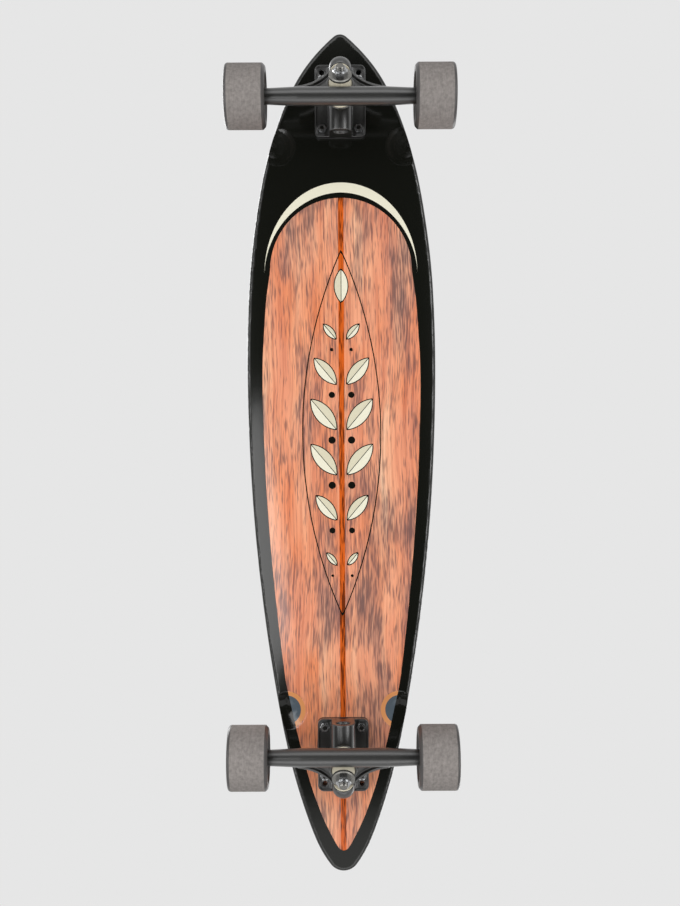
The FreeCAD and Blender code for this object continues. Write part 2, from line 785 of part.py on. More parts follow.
def make_kingpin_parts(end):
    """Kingpin, its nut, the two washers and the two bushings of one truck."""
    frame = truck_frames[end] * kingpin_frame
    finish = washer_far + size["kingpin_nut_height"] + size["kingpin_nut_collar"] + size["kingpin_over"]
    point = kingpin_radius * POINT_SHARE
    kingpin = turned_body(f"{end}_kingpin", [
        (shoulder_along, 0), (shoulder_along, kingpin_radius), (finish - point, kingpin_radius),
        (finish, kingpin_radius - point), (finish, 0),
    ], frame)
    head = new_sketch(kingpin, "YZ_Plane", shoulder_along)
    draw_hexagon(head, size["kingpin_flats"])
    pad(kingpin, head, size["kingpin_head_height"], upward=False)
    nut = lock_nut(
        f"{end}_kingpin_nut", washer_far, size["kingpin_flats"], size["kingpin_nut_height"],
        size["kingpin_nut_collar"], kingpin_radius, frame)
    thick = size["bushing_washer_thickness"]
    broad = size["bushing_washer_radius"]
    lip = size["bushing_washer_lip"]
    narrow = size["bushing_tip_radius"] + lip / 2
    board_washer = turned_body(f"{end}_board_washer", [
        (seat_along, kingpin_radius), (seat_along, broad), (seat_along + thick, broad),
        (seat_along + thick, kingpin_radius),
    ], frame)
    road_washer = turned_body(f"{end}_road_washer", [
        (bushing_far, kingpin_radius), (bushing_far, narrow), (bushing_far - lip, narrow),
        (bushing_far - lip, narrow + lip), (washer_far - thick / 2, narrow + lip), (washer_far, narrow),
        (washer_far, kingpin_radius),
    ], frame)
    washers = grouped(f"{end}_bushing_washers", [board_washer, road_washer])
    bore = kingpin_radius + size["bushing_bore_gap"]
    full = size["bushing_radius"]
    edge = size["bushing_edge"]
    board_bushing = turned_body(f"{end}_boardside_bushing", [
        (-bushing_far, bore), (-bushing_far, full - edge), (-bushing_far + edge, full),
        (-half_ring - edge, full), (-half_ring, full - edge), (-half_ring, bore),
    ], frame)
    tip = size["bushing_tip_radius"]
    road_bushing = turned_body(f"{end}_roadside_bushing", [
        (half_ring, bore), (half_ring, full - edge), (half_ring + edge, full),
        (half_ring + size["ring_wall_height"] + edge, full), (bushing_far - lip - edge, tip),
        (bushing_far, tip), (bushing_far, bore),
    ], frame)
    return [kingpin, nut, washers, board_bushing, road_bushing]


def make_hanger(end):
    """The cast hanger: axle tube, swept yoke with a rimmed recess, bushing ring and pivot nose."""
    body = new_body(f"{end}_hanger")
    tube_x = -size["axle_to_kingpin"]
    tube_z = -size["axle_rake"]
    half_width = size["hanger_width"] / 2
    wide = size["hanger_mid_radius"]
    slim = size["hanger_end_radius"]
    shoulder = size["hanger_shoulder"]
    tube = new_sketch(body, "XY_Plane", tube_z)
    add_axis(tube, (tube_x, -half_width), (tube_x, half_width))
    draw_outline(tube, [
        (tube_x, -half_width), (tube_x + slim, -half_width), (tube_x + wide, -shoulder),
        (tube_x + wide, shoulder), (tube_x + slim, half_width), (tube_x, half_width),
    ])
    turn(body, "Revolution", tube, "Axis0")

    def yoke_outline(sketch, heel, inset):
        """The bell-shaped yoke, drawn in by inset."""
        root = size["yoke_root_reach"] - inset * 2
        waist = size["yoke_waist_reach"] - inset
        waist_x = size["yoke_waist_along"]
        nose = size["yoke_nose_reach"] - inset
        nose_x = size["yoke_nose_along"] - inset
        sweep = size["yoke_sweep_radius"]
        root_x = inset * -1 - size["yoke_root_setback"]
        draw_outline(sketch, [
            (heel, -root), (root_x, -root, -sweep), (waist_x, -waist), (nose_x, -nose),
            (nose_x, nose), (waist_x, waist, -sweep), (root_x, root), (heel, root),
        ])

    heel = tube_x + wide - size["ring_wall"]
    yoke = new_sketch(body, "XY_Plane")
    yoke_outline(yoke, heel, as_size(0))
    pad(body, yoke, size["ring_thickness"], both_ways=True)
    recess = new_sketch(body, "XY_Plane", -half_ring)
    yoke_outline(recess, tube_x + wide, size["yoke_rim_width"])
    pocket(body, recess, size["yoke_recess"], upward=True)
    neck = new_sketch(body, "XY_Plane")
    draw_outline(neck, [
        (size["nose_root_along"], 0), (size["nose_root_along"], size["nose_root_radius"]),
        (size["yoke_nose_along"], size["nose_radius"]), (size["housing_face"], size["nose_radius"]),
        (size["nose_tip_along"] - size["nose_tip_edge"], size["nose_tip_radius"]),
        (size["nose_tip_along"], size["nose_tip_radius"] - size["nose_tip_edge"]),
        (size["nose_tip_along"], 0),
    ])
    turn(body, "Revolution", neck)
    seat_radius = size["bushing_radius"] + size["seat_gap"]
    ring = new_sketch(body, "XY_Plane")
    draw_circle(ring, 0, 0, seat_radius + size["ring_wall"])
    pad(body, ring, size["ring_thickness"] + size["ring_wall_height"] * 2, both_ways=True)
    for level, upward in ((half_ring, True), (-half_ring, False)):
        seat = new_sketch(body, "XY_Plane", level)
        draw_circle(seat, 0, 0, seat_radius)
        pocket(body, seat, size["bushing_length"] * 2, upward=upward)
    hole = new_sketch(body, "XY_Plane")
    draw_circle(hole, 0, 0, size["ring_hole_radius"])
    pocket(body, hole)
    bore = new_sketch(body, "XZ_Plane")
    draw_circle(bore, tube_x, tube_z, size["axle_diameter"] / 2)
    pocket(body, bore)
    body.Placement = truck_frames[end] * steer_frame
    return body


# Distances outward along the axle from the board's middle.
axle_radius = size["axle_diameter"] / 2
hanger_face = size["hanger_width"] / 2
inner_bearing = hanger_face + size["speed_washer_thickness"]
spacer_start = inner_bearing + size["bearing_width"]
outer_bearing = spacer_start + size["spacer_length"]
stack_end = outer_bearing + size["bearing_width"]
nut_start = stack_end + size["speed_washer_thickness"]
axle_end = nut_start + size["axle_nut_height"] + size["axle_nut_collar"] + size["axle_over"]
bearing_starts = (inner_bearing, outer_bearing)
turn_to = {"left": 90, "right": -90}


def axle_frame(end, side):
    """The frame of one half axle, with X pointing outward."""
    spot = truck_frames[end].multVec(axle_spot)
    return FreeCAD.Placement(spot, FreeCAD.Rotation(ALONG_Z, turn_to[side]))


def make_axle_parts(end):
    """The axle of one truck and the still pieces threaded on it."""
    bevel = size["axle_end_chamfer"]
    axle = turned_body(f"{end}_axle", [
        (-axle_end, 0), (-axle_end, axle_radius - bevel), (-axle_end + bevel, axle_radius),
        (axle_end - bevel, axle_radius), (axle_end, axle_radius - bevel), (axle_end, 0),
    ], axle_frame(end, "left"))
    nuts = []
    washers = []
    spacers = []
    rings = []
    for side in ("left", "right"):
        frame = axle_frame(end, side)
        name = f"{end}_{side}"
        nuts.append(lock_nut(
            f"{name}_axle_nut", nut_start, size["axle_nut_flats"], size["axle_nut_height"],
            size["axle_nut_collar"], axle_radius, frame))
        for place, start in (("inner", hanger_face), ("outer", stack_end)):
            finish = start + size["speed_washer_thickness"]
            washers.append(turned_body(f"{name}_{place}_washer", [
                (start, axle_radius), (finish, axle_radius),
                (finish, size["speed_washer_radius"]), (start, size["speed_washer_radius"]),
            ], frame))
        spacers.append(turned_body(f"{name}_spacer", [
            (spacer_start, axle_radius), (outer_bearing, axle_radius),
            (outer_bearing, size["spacer_radius"]), (spacer_start, size["spacer_radius"]),
        ], frame))
        for place, start in zip(("inner", "outer"), bearing_starts):
            label = f"{name}_{place}_inner_ring"
            rings.append(make_race(label, start, axle_radius, size["inner_land_radius"], frame))
    return [
        axle, grouped(f"{end}_axle_nuts", nuts), grouped(f"{end}_speed_washers", washers),
        grouped(f"{end}_bearing_spacers", spacers), grouped(f"{end}_bearing_inner_rings", rings),
    ]


def make_race(label, start, back, land, frame):
    """One bearing ring with a ball groove: back is its plain radius and land its grooved one."""
    finish = start + size["bearing_width"]
    middle = start + size["bearing_width"] / 2
    groove = size["ball_diameter"] / 2 + size["ball_clearance"]
    half = leg(groove, size["pitch_radius"] - land)
    edge = size["bearing_edge"]
    facing_in = number(back) > number(land)
    step = -edge if facing_in else edge
    bend = groove if facing_in else -groove
    return turned_body(label, [
        (start, back + step), (start, land), (middle - half, land, -bend), (middle + half, land),
        (finish, land), (finish, back + step), (finish - edge, back), (start + edge, back),
    ], frame)


def make_wheel(end, side):
    """One wheel: urethane tyre, core, bearing outer rings, shields and the ball sets."""
    frame = axle_frame(end, side)
    name = f"{end}_{side}"
    inner_face = hanger_face - size["wheel_inset"]
    outer_face = inner_face + size["wheel_width"]
    core_in = inner_bearing - size["core_margin"]
    core_out = stack_end + size["core_margin"]
    lip = size["outer_lip_radius"]
    shoulder = wheel_radius - size["inner_lip_drop"]
    core_radius = size["core_radius"]
    land = size["outer_land_radius"]
    tyre = turned_body(f"{name}_wheel", [
        (inner_face, shoulder - size["wheel_face_band"]), (core_in, core_radius), (core_out, core_radius),
        (outer_face, wheel_radius - lip - size["wheel_face_band"]), (outer_face, wheel_radius - lip, lip),
        (outer_face - lip, wheel_radius), (inner_face + size["inner_lip_width"], wheel_radius),
        (inner_face, shoulder),
    ], frame)
    seat = size["bearing_diameter"] / 2
    step = size["core_shoulder_radius"]
    edge = size["core_edge"]
    core = turned_body(f"{name}_wheel_core", [
        (core_in, seat + edge), (core_in + edge, seat), (spacer_start, seat), (spacer_start, step),
        (outer_bearing, step), (outer_bearing, seat), (core_out - edge, seat), (core_out, seat + edge),
        (core_out, core_radius), (core_in, core_radius),
    ], frame)
    outer_rings = []
    shields = []
    balls = []
    for place, start in zip(("inner", "outer"), bearing_starts):
        outer_rings.append(make_race(f"{name}_{place}_outer_ring", start, seat, land, frame))
        far = start + size["bearing_width"] - size["shield_inset"] - size["shield_thickness"]
        for face, level in (("near", start + size["shield_inset"]), ("far", far)):
            finish = level + size["shield_thickness"]
            hub = size["inner_land_radius"] + size["shield_gap"]
            shields.append(turned_body(f"{name}_{place}_{face}_shield", [
                (level, hub), (finish, hub), (finish, land), (level, land),
            ], frame))
        middle = start + size["bearing_width"] / 2
        beside = middle + size["ball_diameter"] / 2
        past = beside + size["retainer_thickness"]
        balls.append(turned_body(f"{name}_{place}_retainer", [
            (beside, size["retainer_inner_radius"]), (past, size["retainer_inner_radius"]),
            (past, size["retainer_outer_radius"]), (beside, size["retainer_outer_radius"]),
        ], frame))
        for count in range(BALL_COUNT):
            angle = 2 * math.pi * count / BALL_COUNT
            ball = doc.addObject("Part::Sphere", f"{name}_{place}_ball")
            ball.setExpression("Radius", (size["ball_diameter"] / 2).text)
            spot = FreeCAD.Vector(
                number(middle), number(size["pitch_radius"]) * math.cos(angle),
                number(size["pitch_radius"]) * math.sin(angle))
            ball.Placement = frame * FreeCAD.Placement(spot, FreeCAD.Rotation())
            balls.append(ball)
    return [
        tyre, core, grouped(f"{name}_bearing_outer_rings", outer_rings),
        grouped(f"{name}_bearing_shields", shields), grouped(f"{name}_bearing_balls", balls),
    ]


def make_truck_bolts(end):
    """The four countersunk bolts of one truck and their lock nuts."""
    radius = size["bolt_diameter"] / 2
    head = size["bolt_head_diameter"] / 2
    top = size["bolt_head_sink"]
    under_rim = top + size["bolt_head_rim"]
    grip_top = size["riser_thickness"] + size["deck_thickness"] + size["grip_thickness"]
    plate_under = grip_top + size["plate_thickness"]
    finish = plate_under + size["bolt_nut_height"] + size["bolt_nut_collar"] + size["bolt_thread_over"]
    point = radius * POINT_SHARE
    bolts = []
    nuts = []
    for index, (along, side) in enumerate(bolt_spots(used_reaches), start=1):
        spot = FreeCAD.Vector(number(along), number(side), number(grip_top))
        frame = truck_frames[end] * FreeCAD.Placement(spot, FreeCAD.Rotation(ALONG_Y, 90))
        bolt = turned_body(f"{end}_truck_bolt_{index}", [
            (top, 0), (top, head), (under_rim, head), (under_rim + head - radius, radius),
            (finish - point, radius), (finish, radius - point), (finish, 0),
        ], frame)
        socket = new_sketch(bolt, "YZ_Plane", top)
        draw_hexagon(socket, size["bolt_socket_flats"])
        pocket(bolt, socket, size["bolt_socket_depth"], upward=True)
        bolts.append(bolt)
        nuts.append(lock_nut(
            f"{end}_truck_nut_{index}", plate_under, size["bolt_nut_flats"], size["bolt_nut_height"],
            size["bolt_nut_collar"], radius, frame))
    return [grouped(f"{end}_truck_bolts", bolts), grouped(f"{end}_truck_nuts", nuts)]


nodes = [make_deck(), make_grip_tape()]
for end in ("front", "rear"):
    nodes += [make_riser_pad(end), make_baseplate(end), make_pivot_cup(end), make_hanger(end)]
    nodes += make_kingpin_parts(end)
    nodes += make_axle_parts(end)
    nodes += make_truck_bolts(end)
    for side in ("left", "right"):
        nodes += make_wheel(end, side)
doc.recompute()

failed = [item.Label for item in doc.Objects if {"Invalid", "Error"} & set(item.State)]
failed += [node.Label for node in nodes if node.Shape.isNull() or not node.Shape.isValid()]
if failed:
    raise RuntimeError(f"pieces that did not build: {failed}")

os.makedirs("parts", exist_ok=True)
for node in nodes:
    node.Shape.exportStep(os.path.join("parts", f"{node.Label}.step"))
    print(node.Label, "solids", len(node.Shape.Solids), "volume", round(node.Shape.Volume, 1))
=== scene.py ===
"""Looks of a pintail longboard skateboard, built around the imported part.

X runs along the board to the nose, Y to the rider's left and Z up, in metres, with the wheels on
z = 0. Sizes in the classes are in millimetres where their names give no other unit.
"""

import logging
import math
from dataclasses import dataclass
from enum import Enum
from functools import partial
from typing import Any, Callable, Mapping, Optional, Sequence

import bmesh
import bpy
import numpy as np
from bmesh.types import BMesh, BMFace
from bpy.types import Material, Mesh, Node, NodeSocket as Socket, NodeTree as Tree, Object
from mathutils import Matrix, Vector

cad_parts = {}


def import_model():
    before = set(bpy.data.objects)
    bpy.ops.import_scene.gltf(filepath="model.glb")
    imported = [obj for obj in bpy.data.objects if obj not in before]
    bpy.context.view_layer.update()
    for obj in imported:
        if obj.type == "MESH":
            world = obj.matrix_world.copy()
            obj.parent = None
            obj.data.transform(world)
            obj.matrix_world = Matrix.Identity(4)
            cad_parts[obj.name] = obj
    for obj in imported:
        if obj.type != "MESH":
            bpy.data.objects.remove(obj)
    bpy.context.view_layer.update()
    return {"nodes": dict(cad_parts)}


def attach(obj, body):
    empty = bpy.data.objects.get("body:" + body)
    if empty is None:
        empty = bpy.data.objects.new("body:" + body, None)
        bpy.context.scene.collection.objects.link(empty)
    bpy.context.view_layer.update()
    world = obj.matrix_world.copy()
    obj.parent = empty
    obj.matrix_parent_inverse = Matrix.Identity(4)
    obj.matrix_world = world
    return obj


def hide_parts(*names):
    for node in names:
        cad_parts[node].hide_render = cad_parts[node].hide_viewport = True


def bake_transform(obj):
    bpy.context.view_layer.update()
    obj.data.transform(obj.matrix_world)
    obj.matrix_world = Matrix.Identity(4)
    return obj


Array = np.ndarray
Nodes = Mapping[str, Object]
# Adds a node to one node tree, as add_node does with the tree given.
Adder = Callable[..., Node]
LOG = logging.getLogger("longboard")
MM = 0.001
BOARD = "board"
# Most values of a noise texture lie between these two.
NOISE_LOW, NOISE_HIGH = 0.3, 0.7
# Further than any spot of the deck lies from a line of the print, in millimetres.
FAR = 900.0
# Below this a length is taken as nothing, so that nothing is divided by zero.
TINY = 1e-12
# How close points are to be one point, or to lie on a line, in millimetres.
WELD = 0.002
SAME_POINT = 0.001
ON_LINE = 0.01
# Height of the deck's edge up to which it is printed, in millimetres.
UNDERSIDE_TOP = 108.5


class End(Enum):
    """The two ends of the board that carry a truck."""

    FRONT = "front"
    REAR = "rear"


class Side(Enum):
    """The two sides of a truck that carry a wheel, with the turn that points X outward."""

    LEFT = ("left", 90.0)
    RIGHT = ("right", -90.0)


class PrintField(Enum):
    """Distance fields of the deck, in millimetres, that the print reads."""

    HEIGHT = "height_mm"
    ACROSS = "across_mm"
    PANEL = "panel_mm"
    CRESCENT = "crescent_mm"
    CRESCENT_INSIDE = "crescent_inside_mm"
    FRAME = "frame_mm"
    LEAF = "leaf_mm"
    RIB = "rib_mm"
    BERRY = "berry_mm"
    WELL = "well_mm"


def linear(code: str) -> tuple[float, float, float, float]:
    """Turns an sRGB hex colour to linear RGBA.

    Args:
        code: Six hex digits after a hash sign.

    Returns:
        The linear colour with an alpha of 1.
    """
    parts = [int(code[i : i + 2], 16) / 255.0 for i in (1, 3, 5)]
    red, green, blue = (c / 12.92 if c <= 0.04045 else ((c + 0.055) / 1.055) ** 2.4 for c in parts)
    return red, green, blue, 1.0


def add_node(
    tree: Tree, kind: str, inputs: Optional[Mapping[Any, Any]] = None, **settings: Any
) -> Node:
    """Adds a node with its values, links and settings.

    Args:
        tree: The material's or world's node tree.
        kind: Blender's name of the node type, after ShaderNode.
        inputs: Socket name or number to a value, to the output that feeds it, or to the node
            whose first output does.
        settings: Properties of the node.

    Returns:
        The new node.
    """
    node = tree.nodes.new(f"ShaderNode{kind}")
    for key, value in settings.items():
        setattr(node, key, value)
    for key, value in (inputs or {}).items():
        if isinstance(value, Node):
            value = value.outputs[0]
        if isinstance(value, Socket):
            tree.links.new(value, node.inputs[key])
        else:
            node.inputs[key].default_value = value
    return node


@dataclass(frozen=True)
class Finish:
    """A surface finish that becomes one material."""

    name: str

    def material(self) -> Material:
        """Makes the finish's material on first use.

        Returns:
            The material.
        """
        found = bpy.data.materials.get(self.name)
        if found is not None:
            return found
        made = bpy.data.materials.new(self.name)
        made.use_nodes = True
        made.node_tree.nodes.clear()
        add = partial(add_node, made.node_tree)
        shader = add("BsdfPrincipled", self.dress(add))
        add("OutputMaterial", {"Surface": shader})
        return made

    def dress(self, add: Adder) -> dict[str, Any]:
        """Builds the finish's nodes.

        Args:
            add: Adds a node to the material.

        Returns:
            The inputs of the Principled shader.
        """
        raise NotImplementedError


@dataclass(frozen=True)
class Mottled(Finish):
    """A moulded, coated or plated surface: two close tones in soft patches, and a fine relief."""

    light: str = "#808080"
    dark: str = "#606060"
    metallic: float = 0.0
    roughness: float = 0.5
    rough_spread: float = 0.1
    patch_mm: float = 6.0
    grain_mm: float = 0.5
    relief_mm: float = 0.02
    coat: float = 0.0
    coat_roughness: float = 0.12

    def dress(self, add: Adder) -> dict[str, Any]:
        """Mixes the two tones by patches and raises the grain.

        Args:
            add: Adds a node to the material.

        Returns:
            The inputs of the Principled shader.
        """
        place = add("TexCoord").outputs["Object"]
        patch = add(
            "TexNoise", {"Vector": place, "Scale": 1.0 / (self.patch_mm * MM), "Detail": 4.0}
        )
        grain = add(
            "TexNoise", {"Vector": place, "Scale": 1.0 / (self.grain_mm * MM), "Detail": 2.0}
        )
        tone = add(
            "Mix", {0: patch, 6: linear(self.dark), 7: linear(self.light)}, data_type="RGBA"
        )
        rough = add("MapRange", {
            "Value": grain,
            "From Min": NOISE_LOW,
            "From Max": NOISE_HIGH,
            "To Min": self.roughness - self.rough_spread / 2,
            "To Max": self.roughness + self.rough_spread / 2,
        })
        return {
            "Base Color": tone.outputs[2],
            "Metallic": self.metallic,
            "Roughness": rough,
            "Normal": add("Bump", {"Height": grain, "Distance": self.relief_mm * MM}),
            "Coat Weight": self.coat,
            "Coat Roughness": self.coat_roughness,
        }


@dataclass(frozen=True)
class Band:
    """The part of the deck where a distance field lies between two values."""

    where: PrintField
    low_mm: float = -FAR
    high_mm: float = FAR


@dataclass(frozen=True)
class Ink:
    """One layer of the print: it covers what is below it where all its bands hold."""

    colour: str
    bands: tuple[Band, ...]


@dataclass(frozen=True)
class GrainLayer:
    """Noise drawn out along the board: length and width of its marks, and its detail."""

    along_mm: float
    across_mm: float
    detail: float


@dataclass(frozen=True)
class Stain:
    """A tone over the wood that grows to its strength between two values of a layer."""

    tone: str
    low: float
    high: float
    strength: float


@dataclass(frozen=True)
class SmokeSpot:
    """A place of the panel where smoke gathers: its middle, and its reach along and across."""

    along_mm: float
    across_mm: float
    reach_mm: float
    half_mm: float


@dataclass(frozen=True)
class PrintedMaple(Finish):
    """Maple ply with a printed wood-grain panel and inks, under clear gloss lacquer.

    The pores of the streak layer are drawn several times as wide as real ones, so that they show.
    """

    grain_tones: tuple[tuple[float, str], ...] = (
        (0.30, "#e08f70"), (0.44, "#ee9f7c"), (0.56, "#f5ae89"), (0.70, "#f6c5a2")
    )
    figure: GrainLayer = GrainLayer(300.0, 34.0, 3.0)
    flame: GrainLayer = GrainLayer(170.0, 44.0, 2.0)
    cloud: GrainLayer = GrainLayer(100.0, 30.0, 3.0)
    vein: GrainLayer = GrainLayer(110.0, 2.6, 4.0)
    streak: GrainLayer = GrainLayer(19.0, 1.7, 1.0)
    layer_roughness: float = 0.62
    wander_mm: float = 200.0
    wander_aside_mm: float = 16.0
    flame_stain: Stain = Stain("#ea7f47", 0.46, 0.66, 0.6)
    vein_stain: Stain = Stain("#a4503a", 0.46, 0.70, 0.5)
    smoke_stain: Stain = Stain("#836766", 0.51, 0.78, 0.58)
    streak_stain: Stain = Stain("#5d4a4c", 0.85, 1.08, 0.72)
    clear_middle_mm: float = -60.0
    clear_half_mm: float = 120.0
    smoked_from_mm: float = 330.0
    end_smoke: float = 0.07
    smoke_spots: tuple[SmokeSpot, ...] = (
        SmokeSpot(-112.0, 58.0, 115.0, 46.0), SmokeSpot(-184.0, 6.0, 58.0, 44.0)
    )
    spot_level_mm: float = 100.0
    spot_core: float = 0.3
    spot_smoke: float = 0.21
    streak_pull: float = 0.7
    stringer: str = "#d4601f"
    stringer_stain: Stain = Stain("#451a0c", 0.84, 1.0, 0.85)
    stringer_half_mm: float = 3.1
    inks: tuple[Ink, ...] = ()
    peel_mm: float = 9.0
    peel_height_mm: float = 0.02
    roughness: float = 0.12

    def dress(self, add: Adder) -> dict[str, Any]:
        """Draws the wood, lays the inks over it and lacquers the whole.

        Args:
            add: Adds a node to the material.

        Returns:
            The inputs of the Principled shader.
        """
        place = add("TexCoord").outputs["Object"]
        colour = self.wood(add, place)
        for ink in self.inks:
            colour = self.inked(add, colour, ink)
        peel = add(
            "TexNoise", {"Vector": place, "Scale": 1.0 / (self.peel_mm * MM), "Detail": 1.0}
        )
        bump = add("Bump", {"Height": peel, "Distance": self.peel_height_mm * MM})
        return {"Base Color": colour, "Roughness": self.roughness, "Normal": bump}

    def wood(self, add: Adder, place: Socket) -> Socket:
        """Draws the panel's wood with its smoke, its streaks and the stringer in its middle.

        Args:
            add: Adds a node to the material.
            place: Gives the place of a spot on the deck.

        Returns:
            The wood's colour.
        """
        wander = add(
            "TexNoise", {"Vector": place, "Scale": 1.0 / (self.wander_mm * MM), "Detail": 2.0}
        )
        drift = add(
            "VectorMath",
            {0: wander.outputs["Color"], 1: (0.0, self.wander_aside_mm * MM, 0.0), 2: place},
            operation="MULTIPLY_ADD",
        ).outputs[0]
        ramp = add("ValToRGB", {"Fac": self.grain(add, drift, self.figure)})
        stops = ramp.color_ramp.elements
        while len(stops) < len(self.grain_tones):
            stops.new(0.5)
        for stop, (position, tone) in zip(stops, self.grain_tones):
            stop.position = position
            stop.color = linear(tone)
        smoke = self.smoke(add, place, self.grain(add, drift, self.cloud))
        clustered = add(
            "Math",
            {0: smoke, 1: self.streak_pull, 2: self.grain(add, drift, self.streak)},
            operation="MULTIPLY_ADD",
        ).outputs[0]
        colour = ramp.outputs["Color"]
        for value, stain in (
            (self.grain(add, drift, self.flame), self.flame_stain),
            (self.grain(add, drift, self.vein), self.vein_stain),
            (smoke, self.smoke_stain),
            (clustered, self.streak_stain),
        ):
            colour = self.stained(add, colour, value, stain)
        across = add("Attribute", attribute_name=PrintField.ACROSS.value)
        middle = add(
            "Math",
            {0: across.outputs["Fac"], 1: 0.0, 2: self.stringer_half_mm},
            operation="COMPARE",
        )
        stringer = self.stained(add, linear(self.stringer), clustered, self.stringer_stain)
        return add("Mix", {0: middle, 6: colour, 7: stringer}, data_type="RGBA").outputs[2]

    def grain(self, add: Adder, drift: Socket, layer: GrainLayer) -> Socket:
        """Draws one layer of the grain.

        Args:
            add: Adds a node to the material.
            drift: Gives the place of a spot, shifted aside as the grain wanders.
            layer: The layer's marks.

        Returns:
            The layer's value.
        """
        across = 1.0 / (layer.across_mm * MM)
        drawn = add(
            "Mapping", {"Vector": drift, "Scale": (1.0 / (layer.along_mm * MM), across, across)}
        )
        return add("TexNoise", {
            "Vector": drawn,
            "Scale": 1.0,
            "Detail": layer.detail,
            "Roughness": self.layer_roughness,
        }).outputs["Fac"]

    def smoke(self, add: Adder, place: Socket, cloud: Socket) -> Socket:
        """Makes the clouds denser to both ends of the deck and in the smoke spots.

        Args:
            add: Adds a node to the material.
            place: Gives the place of a spot on the deck.
            cloud: The cloud layer's value.

        Returns:
            The smoke's density.
        """
        along = add("SeparateXYZ", {"Vector": place}).outputs["X"]
        centred = add("Math", {0: along, 1: self.clear_middle_mm * MM}, operation="SUBTRACT")
        from_middle = add("Math", {0: centred}, operation="ABSOLUTE")
        to_ends = add("MapRange", {
            "Value": from_middle,
            "From Min": self.clear_half_mm * MM,
            "From Max": self.smoked_from_mm * MM,
            "To Max": self.end_smoke,
        })
        gathered = [to_ends.outputs[0]]
        for spot in self.smoke_spots:
            level = self.spot_level_mm * MM
            around = add("Mapping", {
                "Vector": place,
                "Location": (spot.along_mm * MM, spot.across_mm * MM, level),
                "Scale": (spot.reach_mm * MM, spot.half_mm * MM, 1.0),
            }, vector_type="TEXTURE")
            away = add("VectorMath", {0: around}, operation="LENGTH")
            fading = add("MapRange", {
                "Value": away.outputs["Value"],
                "From Min": self.spot_core,
                "To Min": self.spot_smoke,
                "To Max": 0.0,
            }, interpolation_type="SMOOTHSTEP")
            gathered.append(fading.outputs[0])
        density = cloud
        for more in gathered:
            density = add("Math", {0: density, 1: more}, operation="ADD").outputs[0]
        return density

    def stained(self, add: Adder, colour: Any, value: Socket, stain: Stain) -> Socket:
        """Lays a stain over a colour.

        Args:
            add: Adds a node to the material.
            colour: The colour below it, as a socket or as linear RGBA.
            value: The value of the layer that the stain follows.
            stain: The stain.

        Returns:
            The stained colour.
        """
        share = add("MapRange", {
            "Value": value,
            "From Min": stain.low,
            "From Max": stain.high,
            "To Max": stain.strength,
        })
        return add(
            "Mix", {0: share, 6: colour, 7: linear(stain.tone)}, data_type="RGBA"
        ).outputs[2]

    def inked(self, add: Adder, colour: Socket, ink: Ink) -> Socket:
        """Lays an ink over a colour where all its bands hold.

        Args:
            add: Adds a node to the material.
            colour: The colour below it.
            ink: The ink.

        Returns:
            The printed colour.
        """
        shown = None
        for band in ink.bands:
            reading = add("Attribute", attribute_name=band.where.value)
            inside = add("Math", {
                0: reading.outputs["Fac"],
                1: (band.low_mm + band.high_mm) / 2,
                2: (band.high_mm - band.low_mm) / 2,
            }, operation="COMPARE").outputs[0]
            if shown is not None:
                inside = add("Math", {0: shown, 1: inside}, operation="MULTIPLY").outputs[0]
            shown = inside
        return add(
            "Mix", {0: shown, 6: colour, 7: linear(ink.colour)}, data_type="RGBA"
        ).outputs[2]


@dataclass(frozen=True)
class GroundUrethane(Finish):
    """Cast urethane with a stone-ground tread: pale, matte, with fine lines round the wheel."""

    light: str = "#99938f"
    dark: str = "#6c6764"
    line_mm: float = 1.1
    line_squeeze: float = 0.12
    speck_mm: float = 3.6
    speck_roughness: float = 0.6
    speck_share: float = 0.72
    tone_low: float = 0.26
    tone_high: float = 0.74
    relief_mm: float = 0.12
    roughness: float = 0.82
    specular: float = 0.35

    def dress(self, add: Adder) -> dict[str, Any]:
        """Lays ground lines round the tread and specks over them.

        Args:
            add: Adds a node to the material.

        Returns:
            The inputs of the Principled shader.
        """
        place = add("TexCoord").outputs["Object"]
        around = add(
            "Mapping", {"Vector": place, "Scale": (self.line_squeeze, 1.0, self.line_squeeze)}
        )
        line = add(
            "TexNoise", {"Vector": around, "Scale": 1.0 / (self.line_mm * MM), "Detail": 3.0}
        )
        speck = add("TexNoise", {
            "Vector": place,
            "Scale": 1.0 / (self.speck_mm * MM),
            "Detail": 4.0,
            "Roughness": self.speck_roughness,
        })
        both = add("Mix", {0: self.speck_share, 2: line, 3: speck}, data_type="FLOAT")
        spread = add(
            "MapRange", {"Value": both, "From Min": self.tone_low, "From Max": self.tone_high}
        )
        tone = add(
            "Mix", {0: spread, 6: linear(self.dark), 7: linear(self.light)}, data_type="RGBA"
        )
        return {
            "Base Color": tone.outputs[2],
            "Roughness": self.roughness,
            "Specular IOR Level": self.specular,
            "Normal": add("Bump", {"Height": both, "Distance": self.relief_mm * MM}),
        }


# Black powder coat under clear on cast aluminium: a soft broad sheen with a slight orange peel.
POWDER_COAT = Mottled(
    "black_powder_coat", light="#1f1f1d", dark="#171716", roughness=0.36, grain_mm=0.9,
    relief_mm=0.008, coat=1.0, coat_roughness=0.3,
)
# Bright zinc plate on turned steel: clean metal with a blurred reflection.
ZINC_PLATE = Mottled(
    "bright_zinc_plate", light="#c0c1c2", dark="#a6a7a8", metallic=1.0, roughness=0.22,
    rough_spread=0.05, grain_mm=0.6, relief_mm=0.003,
)
# Oiled alloy steel of the kingpin and the washers: a greyer metal than the plated pieces.
OILED_STEEL = Mottled(
    "oiled_alloy_steel", light="#8f8e8a", dark="#716f6b", metallic=1.0, roughness=0.28,
    rough_spread=0.05, relief_mm=0.003,
)
